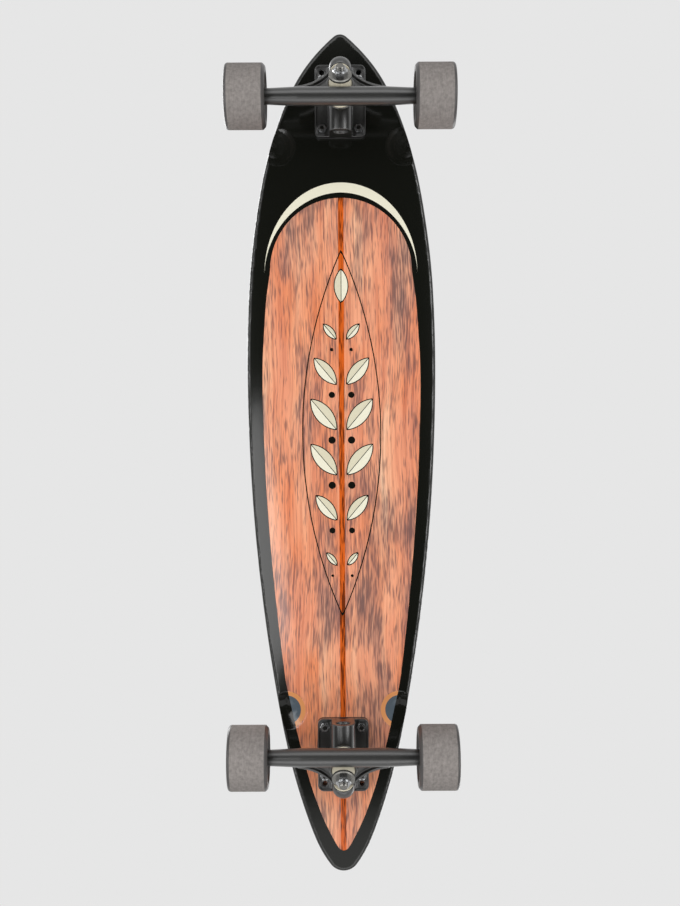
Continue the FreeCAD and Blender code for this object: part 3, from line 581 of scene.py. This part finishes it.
# Black oxide on steel: dark metal, oiled.
BLACK_OXIDE = Mottled(
    "black_oxide_steel", light="#3a3937", dark="#2a2927", metallic=1.0, roughness=0.38
)
# Ground and polished bearing steel: the brightest metal, with a clear reflection.
BEARING_STEEL = Mottled(
    "polished_bearing_steel", light="#d8d8d8", dark="#c6c6c6", metallic=1.0, roughness=0.16,
    rough_spread=0.06, relief_mm=0.004,
)
# Poured urethane, cream: smooth and slightly waxy.
CREAM_URETHANE = Mottled(
    "cream_poured_urethane", light="#ebe4cf", dark="#ded5bb", roughness=0.42, patch_mm=8.0,
    relief_mm=0.01,
)
# Moulded rubber of the riser pad and the seals: black without shine.
MOULDED_RUBBER = Mottled(
    "moulded_black_rubber", light="#262524", dark="#1b1a1a", roughness=0.68, grain_mm=0.7,
    relief_mm=0.03,
)
# Cast urethane as it leaves the mould: dark and smooth.
CAST_URETHANE = Mottled(
    "dark_cast_urethane", light="#4a4746", dark="#3a3837", roughness=0.34, patch_mm=9.0,
    relief_mm=0.01,
)
# Glass-filled nylon of the wheel core: black with a dull sheen.
FILLED_NYLON = Mottled(
    "black_filled_nylon", light="#2b2a2a", dark="#1d1d1d", roughness=0.5, grain_mm=0.6
)
# Silicon carbide grit on paper; the grit is drawn about twice its size so that it shows.
GRIP_GRIT = Mottled(
    "silicon_carbide_grit", light="#343434", dark="#0c0c0c", roughness=0.86, rough_spread=0.25,
    patch_mm=1.1, grain_mm=1.0, relief_mm=0.45,
)
# Black cloth of the flag under the board: it takes light and gives none back.
FLAG_CLOTH = Mottled("dark_flag_cloth", light="#0b0b0b", dark="#060606", roughness=0.95)
# Ground tread: pale and dry beside the smooth sides; its specks are drawn coarser than real ones.
GROUND_TREAD = GroundUrethane("stone_ground_urethane")
INK_BLACK = "#12130f"
INK_CREAM = "#ece8d2"
INK_SAND = "#dad4ba"
PLY_RIM = "#e39a62"
PLY_FLOOR = "#56616a"
# Radii of the rings in a wheel well and widths of the print's lines, in millimetres.
WELL_RIM = 21.4
WELL_FLOOR = 16.4
FRAME_HALF = 0.65
LEAF_EDGE = 1.1
RIB_HALF = 0.4
# Printed maple under lacquer: warm figured wood in a black border, with clear reflections.
DECK_PRINT = PrintedMaple(
    "printed_lacquered_maple",
    inks=(
        Ink(PLY_RIM, (Band(PrintField.WELL, high_mm=WELL_RIM),)),
        Ink(PLY_FLOOR, (Band(PrintField.WELL, high_mm=WELL_FLOOR),)),
        Ink(INK_BLACK, (Band(PrintField.FRAME, -FRAME_HALF, FRAME_HALF),)),
        Ink(INK_BLACK, (Band(PrintField.LEAF, 0.0),)),
        Ink(INK_CREAM, (Band(PrintField.LEAF, LEAF_EDGE), Band(PrintField.RIB, RIB_HALF))),
        Ink(
            INK_SAND, (Band(PrintField.LEAF, LEAF_EDGE), Band(PrintField.RIB, high_mm=-RIB_HALF))
        ),
        Ink(INK_BLACK, (Band(PrintField.BERRY, 0.0),)),
        Ink(INK_BLACK, (Band(PrintField.PANEL, high_mm=0.0),)),
        Ink(
            INK_CREAM,
            (Band(PrintField.CRESCENT, 0.0), Band(PrintField.CRESCENT_INSIDE, high_mm=0.0)),
        ),
        Ink(INK_BLACK, (Band(PrintField.HEIGHT, UNDERSIDE_TOP),)),
    ),
)
TRUCK_FINISHES = {
    "riser_pad": MOULDED_RUBBER,
    "pivot_cup": CREAM_URETHANE,
    "kingpin": OILED_STEEL,
    "kingpin_nut": ZINC_PLATE,
    "bushing_washers": OILED_STEEL,
    "axle": ZINC_PLATE,
    "axle_nuts": ZINC_PLATE,
    "speed_washers": ZINC_PLATE,
    "bearing_spacers": ZINC_PLATE,
    "bearing_inner_rings": BEARING_STEEL,
    "truck_bolts": BLACK_OXIDE,
    "truck_nuts": ZINC_PLATE,
}
WHEEL_FINISHES = {
    "wheel_core": FILLED_NYLON,
    "bearing_outer_rings": BEARING_STEEL,
    "bearing_shields": MOULDED_RUBBER,
    "bearing_balls": BEARING_STEEL,
}


def merged_copy(node: Object) -> BMesh:
    """Copies a CAD node's mesh with its loose triangles joined.

    Args:
        node: The CAD node's object, which stays as it is.

    Returns:
        The joined copy.
    """
    bm = bmesh.new()
    bm.from_mesh(node.data)
    bmesh.ops.remove_doubles(bm, verts=bm.verts, dist=WELD * MM)
    return bm


def place_piece(
    bm: BMesh, name: str, finishes: Sequence[Finish], smooth_deg: float
) -> Object:
    """Makes an object of a finished mesh, with smooth shading up to an angle.

    Args:
        bm: The mesh, in the row frame; it is freed.
        name: The piece's name.
        finishes: Its finishes, in the order of the faces' material numbers.
        smooth_deg: Edges sharper than this stay sharp.

    Returns:
        The new object.
    """
    mesh = bpy.data.meshes.new(name)
    bm.to_mesh(mesh)
    bm.free()
    mesh.shade_smooth()
    mesh.set_sharp_from_angle(angle=math.radians(smooth_deg))
    for finish in finishes:
        mesh.materials.append(finish.material())
    piece = bpy.data.objects.new(name, mesh)
    bpy.context.scene.collection.objects.link(piece)
    LOG.info("%s: %d faces", name, len(mesh.polygons))
    return piece


def lathe(profile: Sequence[tuple[float, float]], where: Matrix, steps: int) -> BMesh:
    """Turns a closed profile about the local X axis.

    Args:
        profile: Corners as distance along X and radius, in millimetres.
        where: The local frame.
        steps: Faces round the turn.

    Returns:
        The turned mesh, in the row frame.
    """
    bm = bmesh.new()
    ring = [bm.verts.new((along * MM, radius * MM, 0.0)) for along, radius in profile]
    edges = [bm.edges.new((a, b)) for a, b in zip(ring, ring[1:] + ring[:1])]
    bmesh.ops.spin(
        bm, geom=ring + edges, cent=(0.0, 0.0, 0.0), axis=(1.0, 0.0, 0.0), dvec=(0.0, 0.0, 0.0),
        angle=math.tau, steps=steps, use_merge=True,
    )
    bmesh.ops.remove_doubles(bm, verts=bm.verts, dist=SAME_POINT * MM)
    bmesh.ops.recalc_face_normals(bm, faces=bm.faces)
    bmesh.ops.transform(bm, matrix=where, verts=bm.verts)
    return bm


def round_rings(
    bm: BMesh, where: Matrix, corners: Mapping[tuple[float, float], float], segments: int
) -> None:
    """Rounds ring edges of a turned mesh.

    Args:
        bm: The turned mesh, in the row frame.
        where: The local frame that it was turned in.
        corners: Distance along X and radius of each ring, to the width that it is rounded over.
        segments: Faces across each rounding.
    """
    back = where.inverted()
    for (along, radius), width in corners.items():
        chosen = []
        for edge in bm.edges:
            ends = [back @ v.co for v in edge.verts]
            offs = [abs(p.x - along * MM) for p in ends]
            offs += [abs(math.hypot(p.y, p.z) - radius * MM) for p in ends]
            if max(offs) < ON_LINE * MM:
                chosen.append(edge)
        bmesh.ops.bevel(
            bm, geom=chosen, offset=width * MM, offset_type="OFFSET", affect="EDGES",
            segments=segments, profile=0.5, material=-1, clamp_overlap=True,
        )


def cast_copy(node: Object, voxel_mm: float, passes: int) -> BMesh:
    """Copies a CAD node as a casting, with every edge softly rounded.

    Args:
        node: The CAD node's object, which stays as it is.
        voxel_mm: Size of the even mesh that the copy gets.
        passes: How often the mesh is smoothed.

    Returns:
        The rounded copy, in the row frame.
    """
    joined = merged_copy(node)
    mesh = bpy.data.meshes.new("casting_blank")
    joined.to_mesh(mesh)
    joined.free()
    blank = bpy.data.objects.new("casting_blank", mesh)
    bpy.context.scene.collection.objects.link(blank)
    even = blank.modifiers.new("even_mesh", "REMESH")
    even.mode = "VOXEL"
    even.voxel_size = voxel_mm * MM
    graph = bpy.context.evaluated_depsgraph_get()
    made = bpy.data.meshes.new_from_object(blank.evaluated_get(graph))
    bm = bmesh.new()
    bm.from_mesh(made)
    for _ in range(passes):
        bmesh.ops.smooth_vert(
            bm, verts=bm.verts, factor=0.5, use_axis_x=True, use_axis_y=True, use_axis_z=True
        )
    bpy.data.objects.remove(blank)
    bpy.data.meshes.remove(made)
    bpy.data.meshes.remove(mesh)
    return bm


def slice_evenly(bm: BMesh, axis: int, spacing: float, below: float) -> None:
    """Cuts a mesh's lower faces by even planes, so that fields on them have enough points.

    Args:
        bm: The mesh to cut.
        axis: 0, 1 or 2, for planes across X, Y or Z.
        spacing: Distance between planes, in metres.
        below: Only faces whose middle is lower than this are cut.
    """
    normal = Vector([float(i == axis) for i in range(3)])
    levels = [v.co[axis] for v in bm.verts]
    cut, end = min(levels) + spacing, max(levels)
    ahead = [f for f in bm.faces if f.calc_center_median().z < below]
    while cut < end:
        near = {e for f in ahead for e in f.edges} | {v for f in ahead for v in f.verts}
        found = bmesh.ops.bisect_plane(
            bm, geom=ahead + list(near), dist=SAME_POINT * MM, plane_co=normal * cut,
            plane_no=normal,
        )
        faces = [f for f in found["geom"] if isinstance(f, BMFace)]
        ahead = [f for f in faces if max(v.co[axis] for v in f.verts) > cut + ON_LINE * MM]
        cut += spacing


def smooth_loop(points: Sequence[tuple[float, float]], steps: int) -> Array:
    """Draws a smooth closed line through points.

    Args:
        points: The points, in order.
        steps: Line pieces between two points.

    Returns:
        The line's corners, one row each.
    """
    knots = np.array(points, float)
    before, after, last = np.roll(knots, 1, 0), np.roll(knots, -1, 0), np.roll(knots, -2, 0)
    bend = 2 * before - 5 * knots + 4 * after - last
    twist = 3 * knots - before - 3 * after + last
    drawn = [
        0.5 * (2 * knots + (after - before) * t + bend * t**2 + twist * t**3)
        for t in np.arange(steps) / steps
    ]
    return np.stack(drawn, 1).reshape(-1, 2)


def arch(
    foot: float, reach: float, half: float, power: float, steps: int
) -> list[tuple[float, float]]:
    """Draws an arch that bulges to the nose.

    Args:
        foot: Distance along the board of both feet.
        reach: Height of the arch.
        half: Half the distance between its feet.
        power: 2 for an ellipse, and less for a more pointed arch.
        steps: Line pieces.

    Returns:
        Its points, from the left foot to the right one.
    """
    turns = [math.pi * i / steps for i in range(steps + 1)]
    return [
        (
            foot + reach * abs(math.sin(t)) ** (2 / power),
            math.copysign(half * abs(math.cos(t)) ** (2 / power), math.cos(t)),
        )
        for t in turns
    ]


def signed_distance(spots: Array, outline: Array, batch: int = 3000) -> Array:
    """Measures spots against a closed line.

    Args:
        spots: The spots, one row each.
        outline: The line's corners, one row each.
        batch: How many spots are measured at once.

    Returns:
        Each spot's distance to the line, positive inside it.
    """
    start, step = outline, np.roll(outline, -1, 0) - outline
    finish = start + step
    length = np.maximum((step**2).sum(1), TINY)
    values = np.empty(len(spots))
    for first in range(0, len(spots), batch):
        p = spots[first : first + batch, None, :]
        share = np.clip(((p - start) * step).sum(2) / length, 0.0, 1.0)
        gap = p - start - share[..., None] * step
        nearest = np.sqrt((gap**2).sum(2).min(1))
        spans = (start[:, 1] > p[..., 1]) != (finish[:, 1] > p[..., 1])
        rise = np.where(np.abs(step[:, 1]) < TINY, TINY, step[:, 1])
        crossing = start[:, 0] + (p[..., 1] - start[:, 1]) / rise * step[:, 0]
        inside = (spans & (p[..., 0] < crossing)).sum(1) % 2 == 1
        values[first : first + batch] = np.where(inside, nearest, -nearest)
    return values


def pointed_oval(along: Array, across: Array, length: float, width: float) -> Array:
    """Measures spots against an oval with two points, such as a leaf.

    Args:
        along: Distances along its axis from its middle.
        across: Distances across its axis.
        length: Point to point.
        width: Its widest part.

    Returns:
        Distances to its edge, positive inside.
    """
    bend = (length**2 + width**2) / (4.0 * width)
    return bend - np.hypot(along, np.abs(across) + bend - width / 2.0)


@dataclass
class Deck:
    """The lacquered deck with its print."""

    grid: float = 2.0
    smooth_deg: float = 40.0
    panel_foot: float = 204.7
    panel_reach: float = 82.5
    panel_half: float = 80.2
    panel_power: float = 2.0
    panel_arch_steps: int = 24
    panel_curve_steps: int = 6
    panel_sides: tuple[tuple[float, float], ...] = (
        (172.0, 84.6), (138.2, 87.0), (104.3, 88.9), (70.5, 89.2),
        (36.7, 88.5), (-31.0, 85.9), (-98.7, 81.4), (-166.4, 75.3),
        (-234.1, 67.6), (-267.9, 62.6), (-320.0, 50.8), (-369.4, 38.2),
        (-403.3, 26.6), (-420.2, 19.4), (-437.1, 10.8), (-446.4, 5.0),
    )
    panel_tail: float = -448.9
    crescent_foot: float = 201.0
    crescent_half: float = 86.4
    crescent_outer: float = 103.5
    crescent_outer_power: float = 2.03
    crescent_inner: float = 92.3
    crescent_inner_power: float = 1.93
    crescent_steps: int = 60
    frame_middle: float = 22.0
    frame_length: float = 412.0
    frame_width: float = 88.0
    leaf_first: float = -128.0
    leaf_step: float = 51.0
    leaf_pairs: int = 6
    leaf_lean_deg: float = 40.0
    leaf_longest: float = 47.0
    leaf_slimness: float = 0.42
    leaf_rise: float = 18.0
    leaf_margin: float = 7.0
    stem_gap: float = 5.2
    berry_radius: float = 4.2
    berry_drop: float = 11.0
    berry_aside: float = 5.8
    tip_leaf: float = 40.0
    well_spot: tuple[float, float] = (-290.5, 64.0)

    def build(self, nodes: Nodes) -> None:
        """Builds the deck with its print.

        Args:
            nodes: The CAD nodes by name.
        """
        bm = merged_copy(nodes["deck"])
        for axis in (0, 1):
            slice_evenly(bm, axis, self.grid * MM, UNDERSIDE_TOP * MM)
        deck = place_piece(bm, "lacquered_deck", [DECK_PRINT], self.smooth_deg)
        for name, values in self.fields(deck.data).items():
            layer = deck.data.attributes.new(name.value, "FLOAT", "POINT")
            layer.data.foreach_set("value", values.astype(np.float32))
        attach(deck, BOARD)
        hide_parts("deck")

    def fields(self, mesh: Mesh) -> dict[PrintField, Array]:
        """Measures the print's distance fields at a mesh's points.

        Args:
            mesh: The deck's mesh.

        Returns:
            Each field's values, in millimetres.
        """
        flat = np.empty(len(mesh.vertices) * 3)
        mesh.vertices.foreach_get("co", flat)
        spots = flat.reshape(-1, 3) / MM
        x, y = spots[:, 0], spots[:, 1]
        top = arch(
            self.panel_foot, self.panel_reach, self.panel_half, self.panel_power,
            self.panel_arch_steps,
        )
        right = [(along, -half) for along, half in self.panel_sides]
        left = [(along, half) for along, half in reversed(self.panel_sides)]
        corners = top + right + [(self.panel_tail, 0.0)] + left
        panel = smooth_loop(corners, self.panel_curve_steps)
        foot, half, steps = self.crescent_foot, self.crescent_half, self.crescent_steps
        outer = arch(foot, self.crescent_outer, half, self.crescent_outer_power, steps)
        inner = arch(foot, self.crescent_inner, half, self.crescent_inner_power, steps)
        leaf, rib, berry = self.sprig(x, y)
        return {
            PrintField.HEIGHT: spots[:, 2],
            PrintField.ACROSS: y,
            PrintField.PANEL: signed_distance(spots[:, :2], panel),
            PrintField.CRESCENT: signed_distance(spots[:, :2], np.array(outer)),
            PrintField.CRESCENT_INSIDE: signed_distance(spots[:, :2], np.array(inner)),
            PrintField.FRAME: self.inside_frame(x, y),
            PrintField.LEAF: leaf,
            PrintField.RIB: rib,
            PrintField.BERRY: berry,
            PrintField.WELL: np.hypot(x - self.well_spot[0], np.abs(y) - self.well_spot[1]),
        }

    def inside_frame(self, x: Array, y: Array) -> Array:
        """Returns how far spots of the board lie inside the frame round the sprig."""
        return pointed_oval(x - self.frame_middle, y, self.frame_length, self.frame_width)

    def sprig(self, x: Array, y: Array) -> tuple[Array, Array, Array]:
        """Measures spots against the sprig of paired leaves inside the frame.

        Args:
            x: Distances along the board.
            y: Distances across it.

        Returns:
            Distance inside the nearest leaf, distance across that leaf's rib, and distance inside
            the nearest berry.
        """
        lean = math.radians(self.leaf_lean_deg)
        side = np.abs(y)
        leaf = np.full(len(x), -FAR)
        rib = np.zeros(len(x))
        berry = np.full(len(x), -FAR)
        for pair in range(self.leaf_pairs):
            foot = self.leaf_first + pair * self.leaf_step
            room = float(self.inside_frame(np.array([foot + self.leaf_rise]), np.zeros(1))[0])
            free = (room - self.stem_gap - self.leaf_margin) / math.sin(lean)
            length = min(self.leaf_longest, free)
            along = (x - foot) * math.cos(lean) + (side - self.stem_gap) * math.sin(lean)
            across = (side - self.stem_gap) * math.cos(lean) - (x - foot) * math.sin(lean)
            inside = pointed_oval(along - length / 2, across, length, length * self.leaf_slimness)
            nearer = inside > leaf
            leaf = np.where(nearer, inside, leaf)
            rib = np.where(nearer, across, rib)
            spot = self.berry_radius * length / self.leaf_longest
            aside = side - self.stem_gap - self.berry_aside
            berry = np.maximum(berry, spot - np.hypot(x - foot + self.berry_drop, aside))
        middle = self.leaf_first + self.leaf_pairs * self.leaf_step + self.tip_leaf / 4
        inside = pointed_oval(x - middle, y, self.tip_leaf, self.tip_leaf * self.leaf_slimness)
        nearer = inside > leaf
        return np.where(nearer, inside, leaf), np.where(nearer, y, rib), berry


@dataclass
class Truck:
    """One truck: baseplate, hanger and the bushings that let it steer."""

    end: End
    middle_x: float
    turn_deg: float
    plate_level: float = 98.0
    ring_x: float = 1.983
    ring_z: float = -48.416
    steer_deg: float = 35.0
    axle_x: float = -11.0
    axle_level: float = 35.0
    bushing_radius: float = 12.4
    bushing_tip: float = 10.4
    bushing_bore: float = 5.0
    bushing_near: float = 4.0
    bushing_far: float = 17.0
    bushing_rows: int = 8
    bushing_steps: int = 72
    bushing_round: float = 0.9
    bushing_round_faces: int = 3
    bushing_smooth_deg: float = 40.0
    cone_from: float = 7.6
    cone_run: float = 6.8
    baseplate_voxel: float = 0.62
    hanger_voxel: float = 0.55
    cast_passes: int = 3
    cast_smooth_deg: float = 70.0

    def frame(self) -> Matrix:
        """Returns the truck's frame, with X to the board's end."""
        spot = Vector((self.middle_x * MM, 0.0, self.plate_level * MM))
        return Matrix.Translation(spot) @ Matrix.Rotation(math.radians(self.turn_deg), 4, "Z")

    def kingpin_frame(self) -> Matrix:
        """Returns the kingpin's frame at the hanger's ring, with X down to the road."""
        ring = Matrix.Translation(Vector((self.ring_x * MM, 0.0, self.ring_z * MM)))
        return self.frame() @ ring @ Matrix.Rotation(math.radians(90.0 - self.steer_deg), 4, "Y")

    def axle_spot(self) -> Vector:
        """Returns the middle of the axle."""
        spot = self.frame() @ Vector((self.axle_x * MM, 0.0, 0.0))
        return Vector((spot.x, spot.y, self.axle_level * MM))

    def hanger_body(self) -> str:
        """Returns the name of the body that steers."""
        return f"{self.end.value}_hanger_body"

    def build(self, nodes: Nodes) -> None:
        """Builds the castings and bushings, and dresses the other pieces.

        Args:
            nodes: The CAD nodes by name.
        """
        name = self.end.value
        for part, body, voxel in (
            ("baseplate", BOARD, self.baseplate_voxel),
            ("hanger", self.hanger_body(), self.hanger_voxel),
        ):
            bm = cast_copy(nodes[f"{name}_{part}"], voxel, self.cast_passes)
            casting = place_piece(
                bm, f"{name}_{part}_casting", [POWDER_COAT], self.cast_smooth_deg
            )
            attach(casting, body)
            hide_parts(f"{name}_{part}")
        self.build_bushings()
        for part, finish in TRUCK_FINISHES.items():
            dress_node(nodes[f"{name}_{part}"], finish)

    def build_bushings(self) -> None:
        """Builds the two bushings, which sit between the board and the hanger."""
        where = self.kingpin_frame()
        near, far = self.bushing_near, self.bushing_far
        full, tip, bore = self.bushing_radius, self.bushing_tip, self.bushing_bore
        rows = self.bushing_rows
        levels = [near + (far - near) * i / rows for i in range(rows + 1)]
        barrel = [(-level, full) for level in levels]
        shares = [max(0.0, (level - self.cone_from) / self.cone_run) for level in levels]
        tapered = [max(tip, full + (tip - full) * share) for share in shares]
        cone = list(zip(levels, tapered))
        for label, outside in (("boardside", barrel), ("roadside", cone)):
            inside = [(level, bore) for level, _ in reversed(outside)]
            bm = lathe(outside + inside, where, self.bushing_steps)
            rounded = {outside[0]: self.bushing_round, outside[-1]: self.bushing_round}
            round_rings(bm, where, rounded, self.bushing_round_faces)
            name = f"{self.end.value}_{label}_urethane"
            piece = place_piece(bm, name, [CREAM_URETHANE], self.bushing_smooth_deg)
            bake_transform(piece)
            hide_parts(f"{self.end.value}_{label}_bushing")


@dataclass
class Wheel:
    """One wheel: the urethane tyre, with its core and bearings dressed."""

    truck: Truck
    side: Side
    inner_face: float = 80.2
    outer_face: float = 123.4
    core_in: float = 89.0
    core_out: float = 117.0
    core_radius: float = 22.0
    inner_mouth: float = 26.8
    outer_mouth: float = 26.8
    radius: float = 35.0
    inner_shoulder: float = 31.8
    inner_lip: float = 3.0
    outer_lip: float = 3.2
    tread_round: float = 0.7
    shoulder_round: float = 1.1
    mouth_round: float = 0.8
    round_faces: int = 5
    steps: int = 112
    smooth_deg: float = 30.0
    tread_margin: float = 0.05

    def name(self) -> str:
        """Returns the start of the wheel's node names."""
        return f"{self.truck.end.value}_{self.side.value[0]}"

    def build(self, nodes: Nodes) -> None:
        """Builds the tyre and dresses the core and bearings.

        Args:
            nodes: The CAD nodes by name.
        """
        turn = Matrix.Rotation(math.radians(self.side.value[1]), 4, "Z")
        where = Matrix.Translation(self.truck.axle_spot()) @ turn
        mouth_in = (self.inner_face, self.inner_mouth)
        mouth_out = (self.outer_face, self.outer_mouth)
        tread_in = (self.inner_face + self.inner_lip, self.radius)
        tread_out = (self.outer_face, self.radius)
        shoulder = (self.inner_face, self.inner_shoulder)
        core = [(self.core_in, self.core_radius), (self.core_out, self.core_radius)]
        profile = [mouth_in, *core, mouth_out, tread_out, tread_in, shoulder]
        bm = lathe(profile, where, self.steps)
        rounded = {
            tread_out: self.outer_lip,
            tread_in: self.tread_round,
            shoulder: self.shoulder_round,
            mouth_in: self.mouth_round,
            mouth_out: self.mouth_round,
        }
        round_rings(bm, where, rounded, self.round_faces)
        back = where.inverted()
        for face in bm.faces:
            spots = [back @ v.co for v in face.verts]
            lowest = min(math.hypot(p.y, p.z) for p in spots)
            on_tread = lowest > (self.radius - self.tread_margin) * MM
            face.material_index = 0 if on_tread else 1
        tyre = place_piece(
            bm, f"{self.name()}_tyre", [GROUND_TREAD, CAST_URETHANE], self.smooth_deg
        )
        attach(tyre, f"{self.name()}_wheel_body")
        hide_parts(f"{self.name()}_wheel")
        for part, finish in WHEEL_FINISHES.items():
            dress_node(nodes[f"{self.name()}_{part}"], finish)


@dataclass(frozen=True)
class Lamp:
    """A soft lamp that points at the board: place and size in metres, power in watts."""

    name: str
    spot: tuple[float, float, float]
    size: tuple[float, float]
    power: float

    def build(self, target: Vector) -> None:
        """Builds the lamp, which the camera doesn't see.

        Args:
            target: The spot that it points at.
        """
        light = bpy.data.lights.new(self.name, "AREA")
        light.shape = "RECTANGLE"
        light.size, light.size_y = self.size
        light.energy = self.power
        stand = bpy.data.objects.new(self.name, light)
        stand.location = self.spot
        aim = target - Vector(self.spot)
        stand.rotation_euler = aim.to_track_quat("-Z", "Y").to_euler()
        stand.visible_camera = False
        bpy.context.scene.collection.objects.link(stand)
        LOG.info("%s: %.1f W", self.name, self.power)


LAMPS = (
    Lamp("gloss_left", (-0.25, -0.55, -1.25), (0.62, 0.50), 3.4),
    Lamp("under_left", (0.0, -1.25, -0.85), (2.3, 0.38), 9.5),
    Lamp("under_right", (0.0, 1.15, -1.05), (2.3, 0.38), 13.0),
    Lamp("under_tail", (-1.2, 0.0, -0.85), (1.4, 0.70), 4.4),
    Lamp("under_nose", (1.2, 0.0, -0.85), (1.4, 0.70), 4.4),
    Lamp("over_key", (0.7, -1.2, 1.7), (1.2, 1.2), 24.0),
    Lamp("over_fill", (-0.9, 1.1, 1.6), (1.4, 1.4), 14.0),
)


@dataclass
class Studio:
    """Pale floor, soft lamps and the camera, which looks straight up at the underside."""

    backdrop: str = "#e6e6e6"
    paper_roughness: float = 0.6
    floor_half_m: float = 4.0
    flag_ends_m: tuple[float, float] = (-1.0, 1.22)
    flag_half_m: float = 0.82
    flag_below_m: float = 2.0
    light_level: float = 0.32
    lamp_target_m: tuple[float, float, float] = (0.0, 0.0, 0.08)
    camera_below: float = 1304.0
    camera_aside: float = -2.1
    camera_along: float = -0.6
    roll_deg: float = 0.28
    lens_mm: float = 49.5
    sensor_mm: float = 36.0
    clip_m: tuple[float, float] = (0.05, 50.0)

    def build(self) -> None:
        """Builds the floor, the flag, the world, the lamps and the camera."""
        self.build_floor()
        self.build_flag()
        self.build_world()
        for lamp in LAMPS:
            lamp.build(Vector(self.lamp_target_m))
        self.build_camera()

    def sheet(
        self, name: str, middle: Sequence[float], half: Sequence[float], material: Material
    ) -> Object:
        """Makes a level sheet of the studio.

        Args:
            name: The sheet's name.
            middle: The place of its middle, in metres.
            half: Half its length and half its width, in metres.
            material: Its material.

        Returns:
            The sheet, which neither shades nor lights the object.
        """
        bm = bmesh.new()
        bmesh.ops.create_grid(bm, x_segments=1, y_segments=1, size=1.0)
        bmesh.ops.scale(bm, vec=(*half, 1.0), verts=bm.verts)
        bmesh.ops.translate(bm, vec=middle, verts=bm.verts)
        mesh = bpy.data.meshes.new(name)
        bm.to_mesh(mesh)
        bm.free()
        mesh.materials.append(material)
        sheet = bpy.data.objects.new(name, mesh)
        bpy.context.scene.collection.objects.link(sheet)
        sheet.visible_shadow = False
        sheet.visible_diffuse = False
        LOG.info("%s: %s", name, material.name)
        return sheet

    def build_floor(self) -> None:
        """Builds the floor, which is seen from above only."""
        paper = bpy.data.materials.new("pale_paper_floor")
        paper.use_nodes = True
        paper.node_tree.nodes.clear()
        add = partial(add_node, paper.node_tree)
        top = add(
            "BsdfDiffuse", {"Color": linear(self.backdrop), "Roughness": self.paper_roughness}
        )
        clear = add("BsdfTransparent")
        face = add("NewGeometry")
        one_sided = add("MixShader", {0: face.outputs["Backfacing"], 1: top, 2: clear})
        add("OutputMaterial", {"Surface": one_sided})
        half = (self.floor_half_m, self.floor_half_m)
        floor = self.sheet("pale_floor", (0.0, 0.0, 0.0), half, paper)
        floor.visible_glossy = False

    def build_flag(self) -> None:
        """Builds the dark cloth under the camera, which only the underside's gloss shows."""
        tail, nose = self.flag_ends_m
        middle = ((nose + tail) / 2, 0.0, -self.flag_below_m)
        half = ((nose - tail) / 2, self.flag_half_m)
        flag = self.sheet("dark_flag", middle, half, FLAG_CLOTH.material())
        flag.visible_camera = False
        flag.visible_transmission = False

    def build_world(self) -> None:
        """Builds the pale backdrop, which lights the object at a plain level."""
        world = bpy.data.worlds.new("studio")
        bpy.context.scene.world = world
        world.use_nodes = True
        world.node_tree.nodes.clear()
        add = partial(add_node, world.node_tree)
        path = add("LightPath")
        seen = add(
            "Math",
            {0: path.outputs["Is Camera Ray"], 1: path.outputs["Is Glossy Ray"]},
            operation="MAXIMUM",
        )
        shown = add(
            "Math", {0: seen, 1: path.outputs["Is Transmission Ray"]}, operation="MAXIMUM"
        )
        light = add("Background", {"Color": (1.0, 1.0, 1.0, 1.0), "Strength": self.light_level})
        paper = add("Background", {"Color": linear(self.backdrop), "Strength": 1.0})
        mixed = add("MixShader", {0: shown, 1: light, 2: paper})
        add("OutputWorld", {"Surface": mixed})

    def build_camera(self) -> None:
        """Builds the camera below the board, with the nose at the top of the frame."""
        data = bpy.data.cameras.new("photo_camera")
        data.lens = self.lens_mm
        data.sensor_width = self.sensor_mm
        data.clip_start, data.clip_end = self.clip_m
        camera = bpy.data.objects.new("photo_camera", data)
        roll = math.radians(self.roll_deg)
        sin, cos = math.sin(roll), math.cos(roll)
        turned = Matrix(((-sin, cos, 0.0), (cos, sin, 0.0), (0.0, 0.0, -1.0)))
        camera.rotation_euler = turned.to_euler()
        spot = Vector((self.camera_along, self.camera_aside, -self.camera_below))
        camera.location = spot * MM
        bpy.context.scene.collection.objects.link(camera)
        bpy.context.scene.camera = camera


def dress_node(node: Object, finish: Finish) -> None:
    """Gives a CAD node a finish.

    Args:
        node: The CAD node's object.
        finish: Its finish.
    """
    node.data.materials.clear()
    node.data.materials.append(finish.material())
    LOG.info("%s: %s", node.name, finish.name)


def main() -> None:
    """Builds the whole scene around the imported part."""
    logging.basicConfig(level=logging.INFO, format="%(name)s: %(message)s")
    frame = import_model()
    nodes = frame["nodes"]
    bpy.context.scene.view_settings.view_transform = "Standard"
    Deck().build(nodes)
    dress_node(nodes["grip_tape"], GRIP_GRIT)
    trucks = (
        Truck(End.FRONT, middle_x=394.0, turn_deg=0.0),
        Truck(End.REAR, middle_x=-339.0, turn_deg=180.0),
    )
    for truck in trucks:
        truck.build(nodes)
        for side in Side:
            Wheel(truck, side).build(nodes)
    Studio().build()


if __name__ == "__main__":
    main()
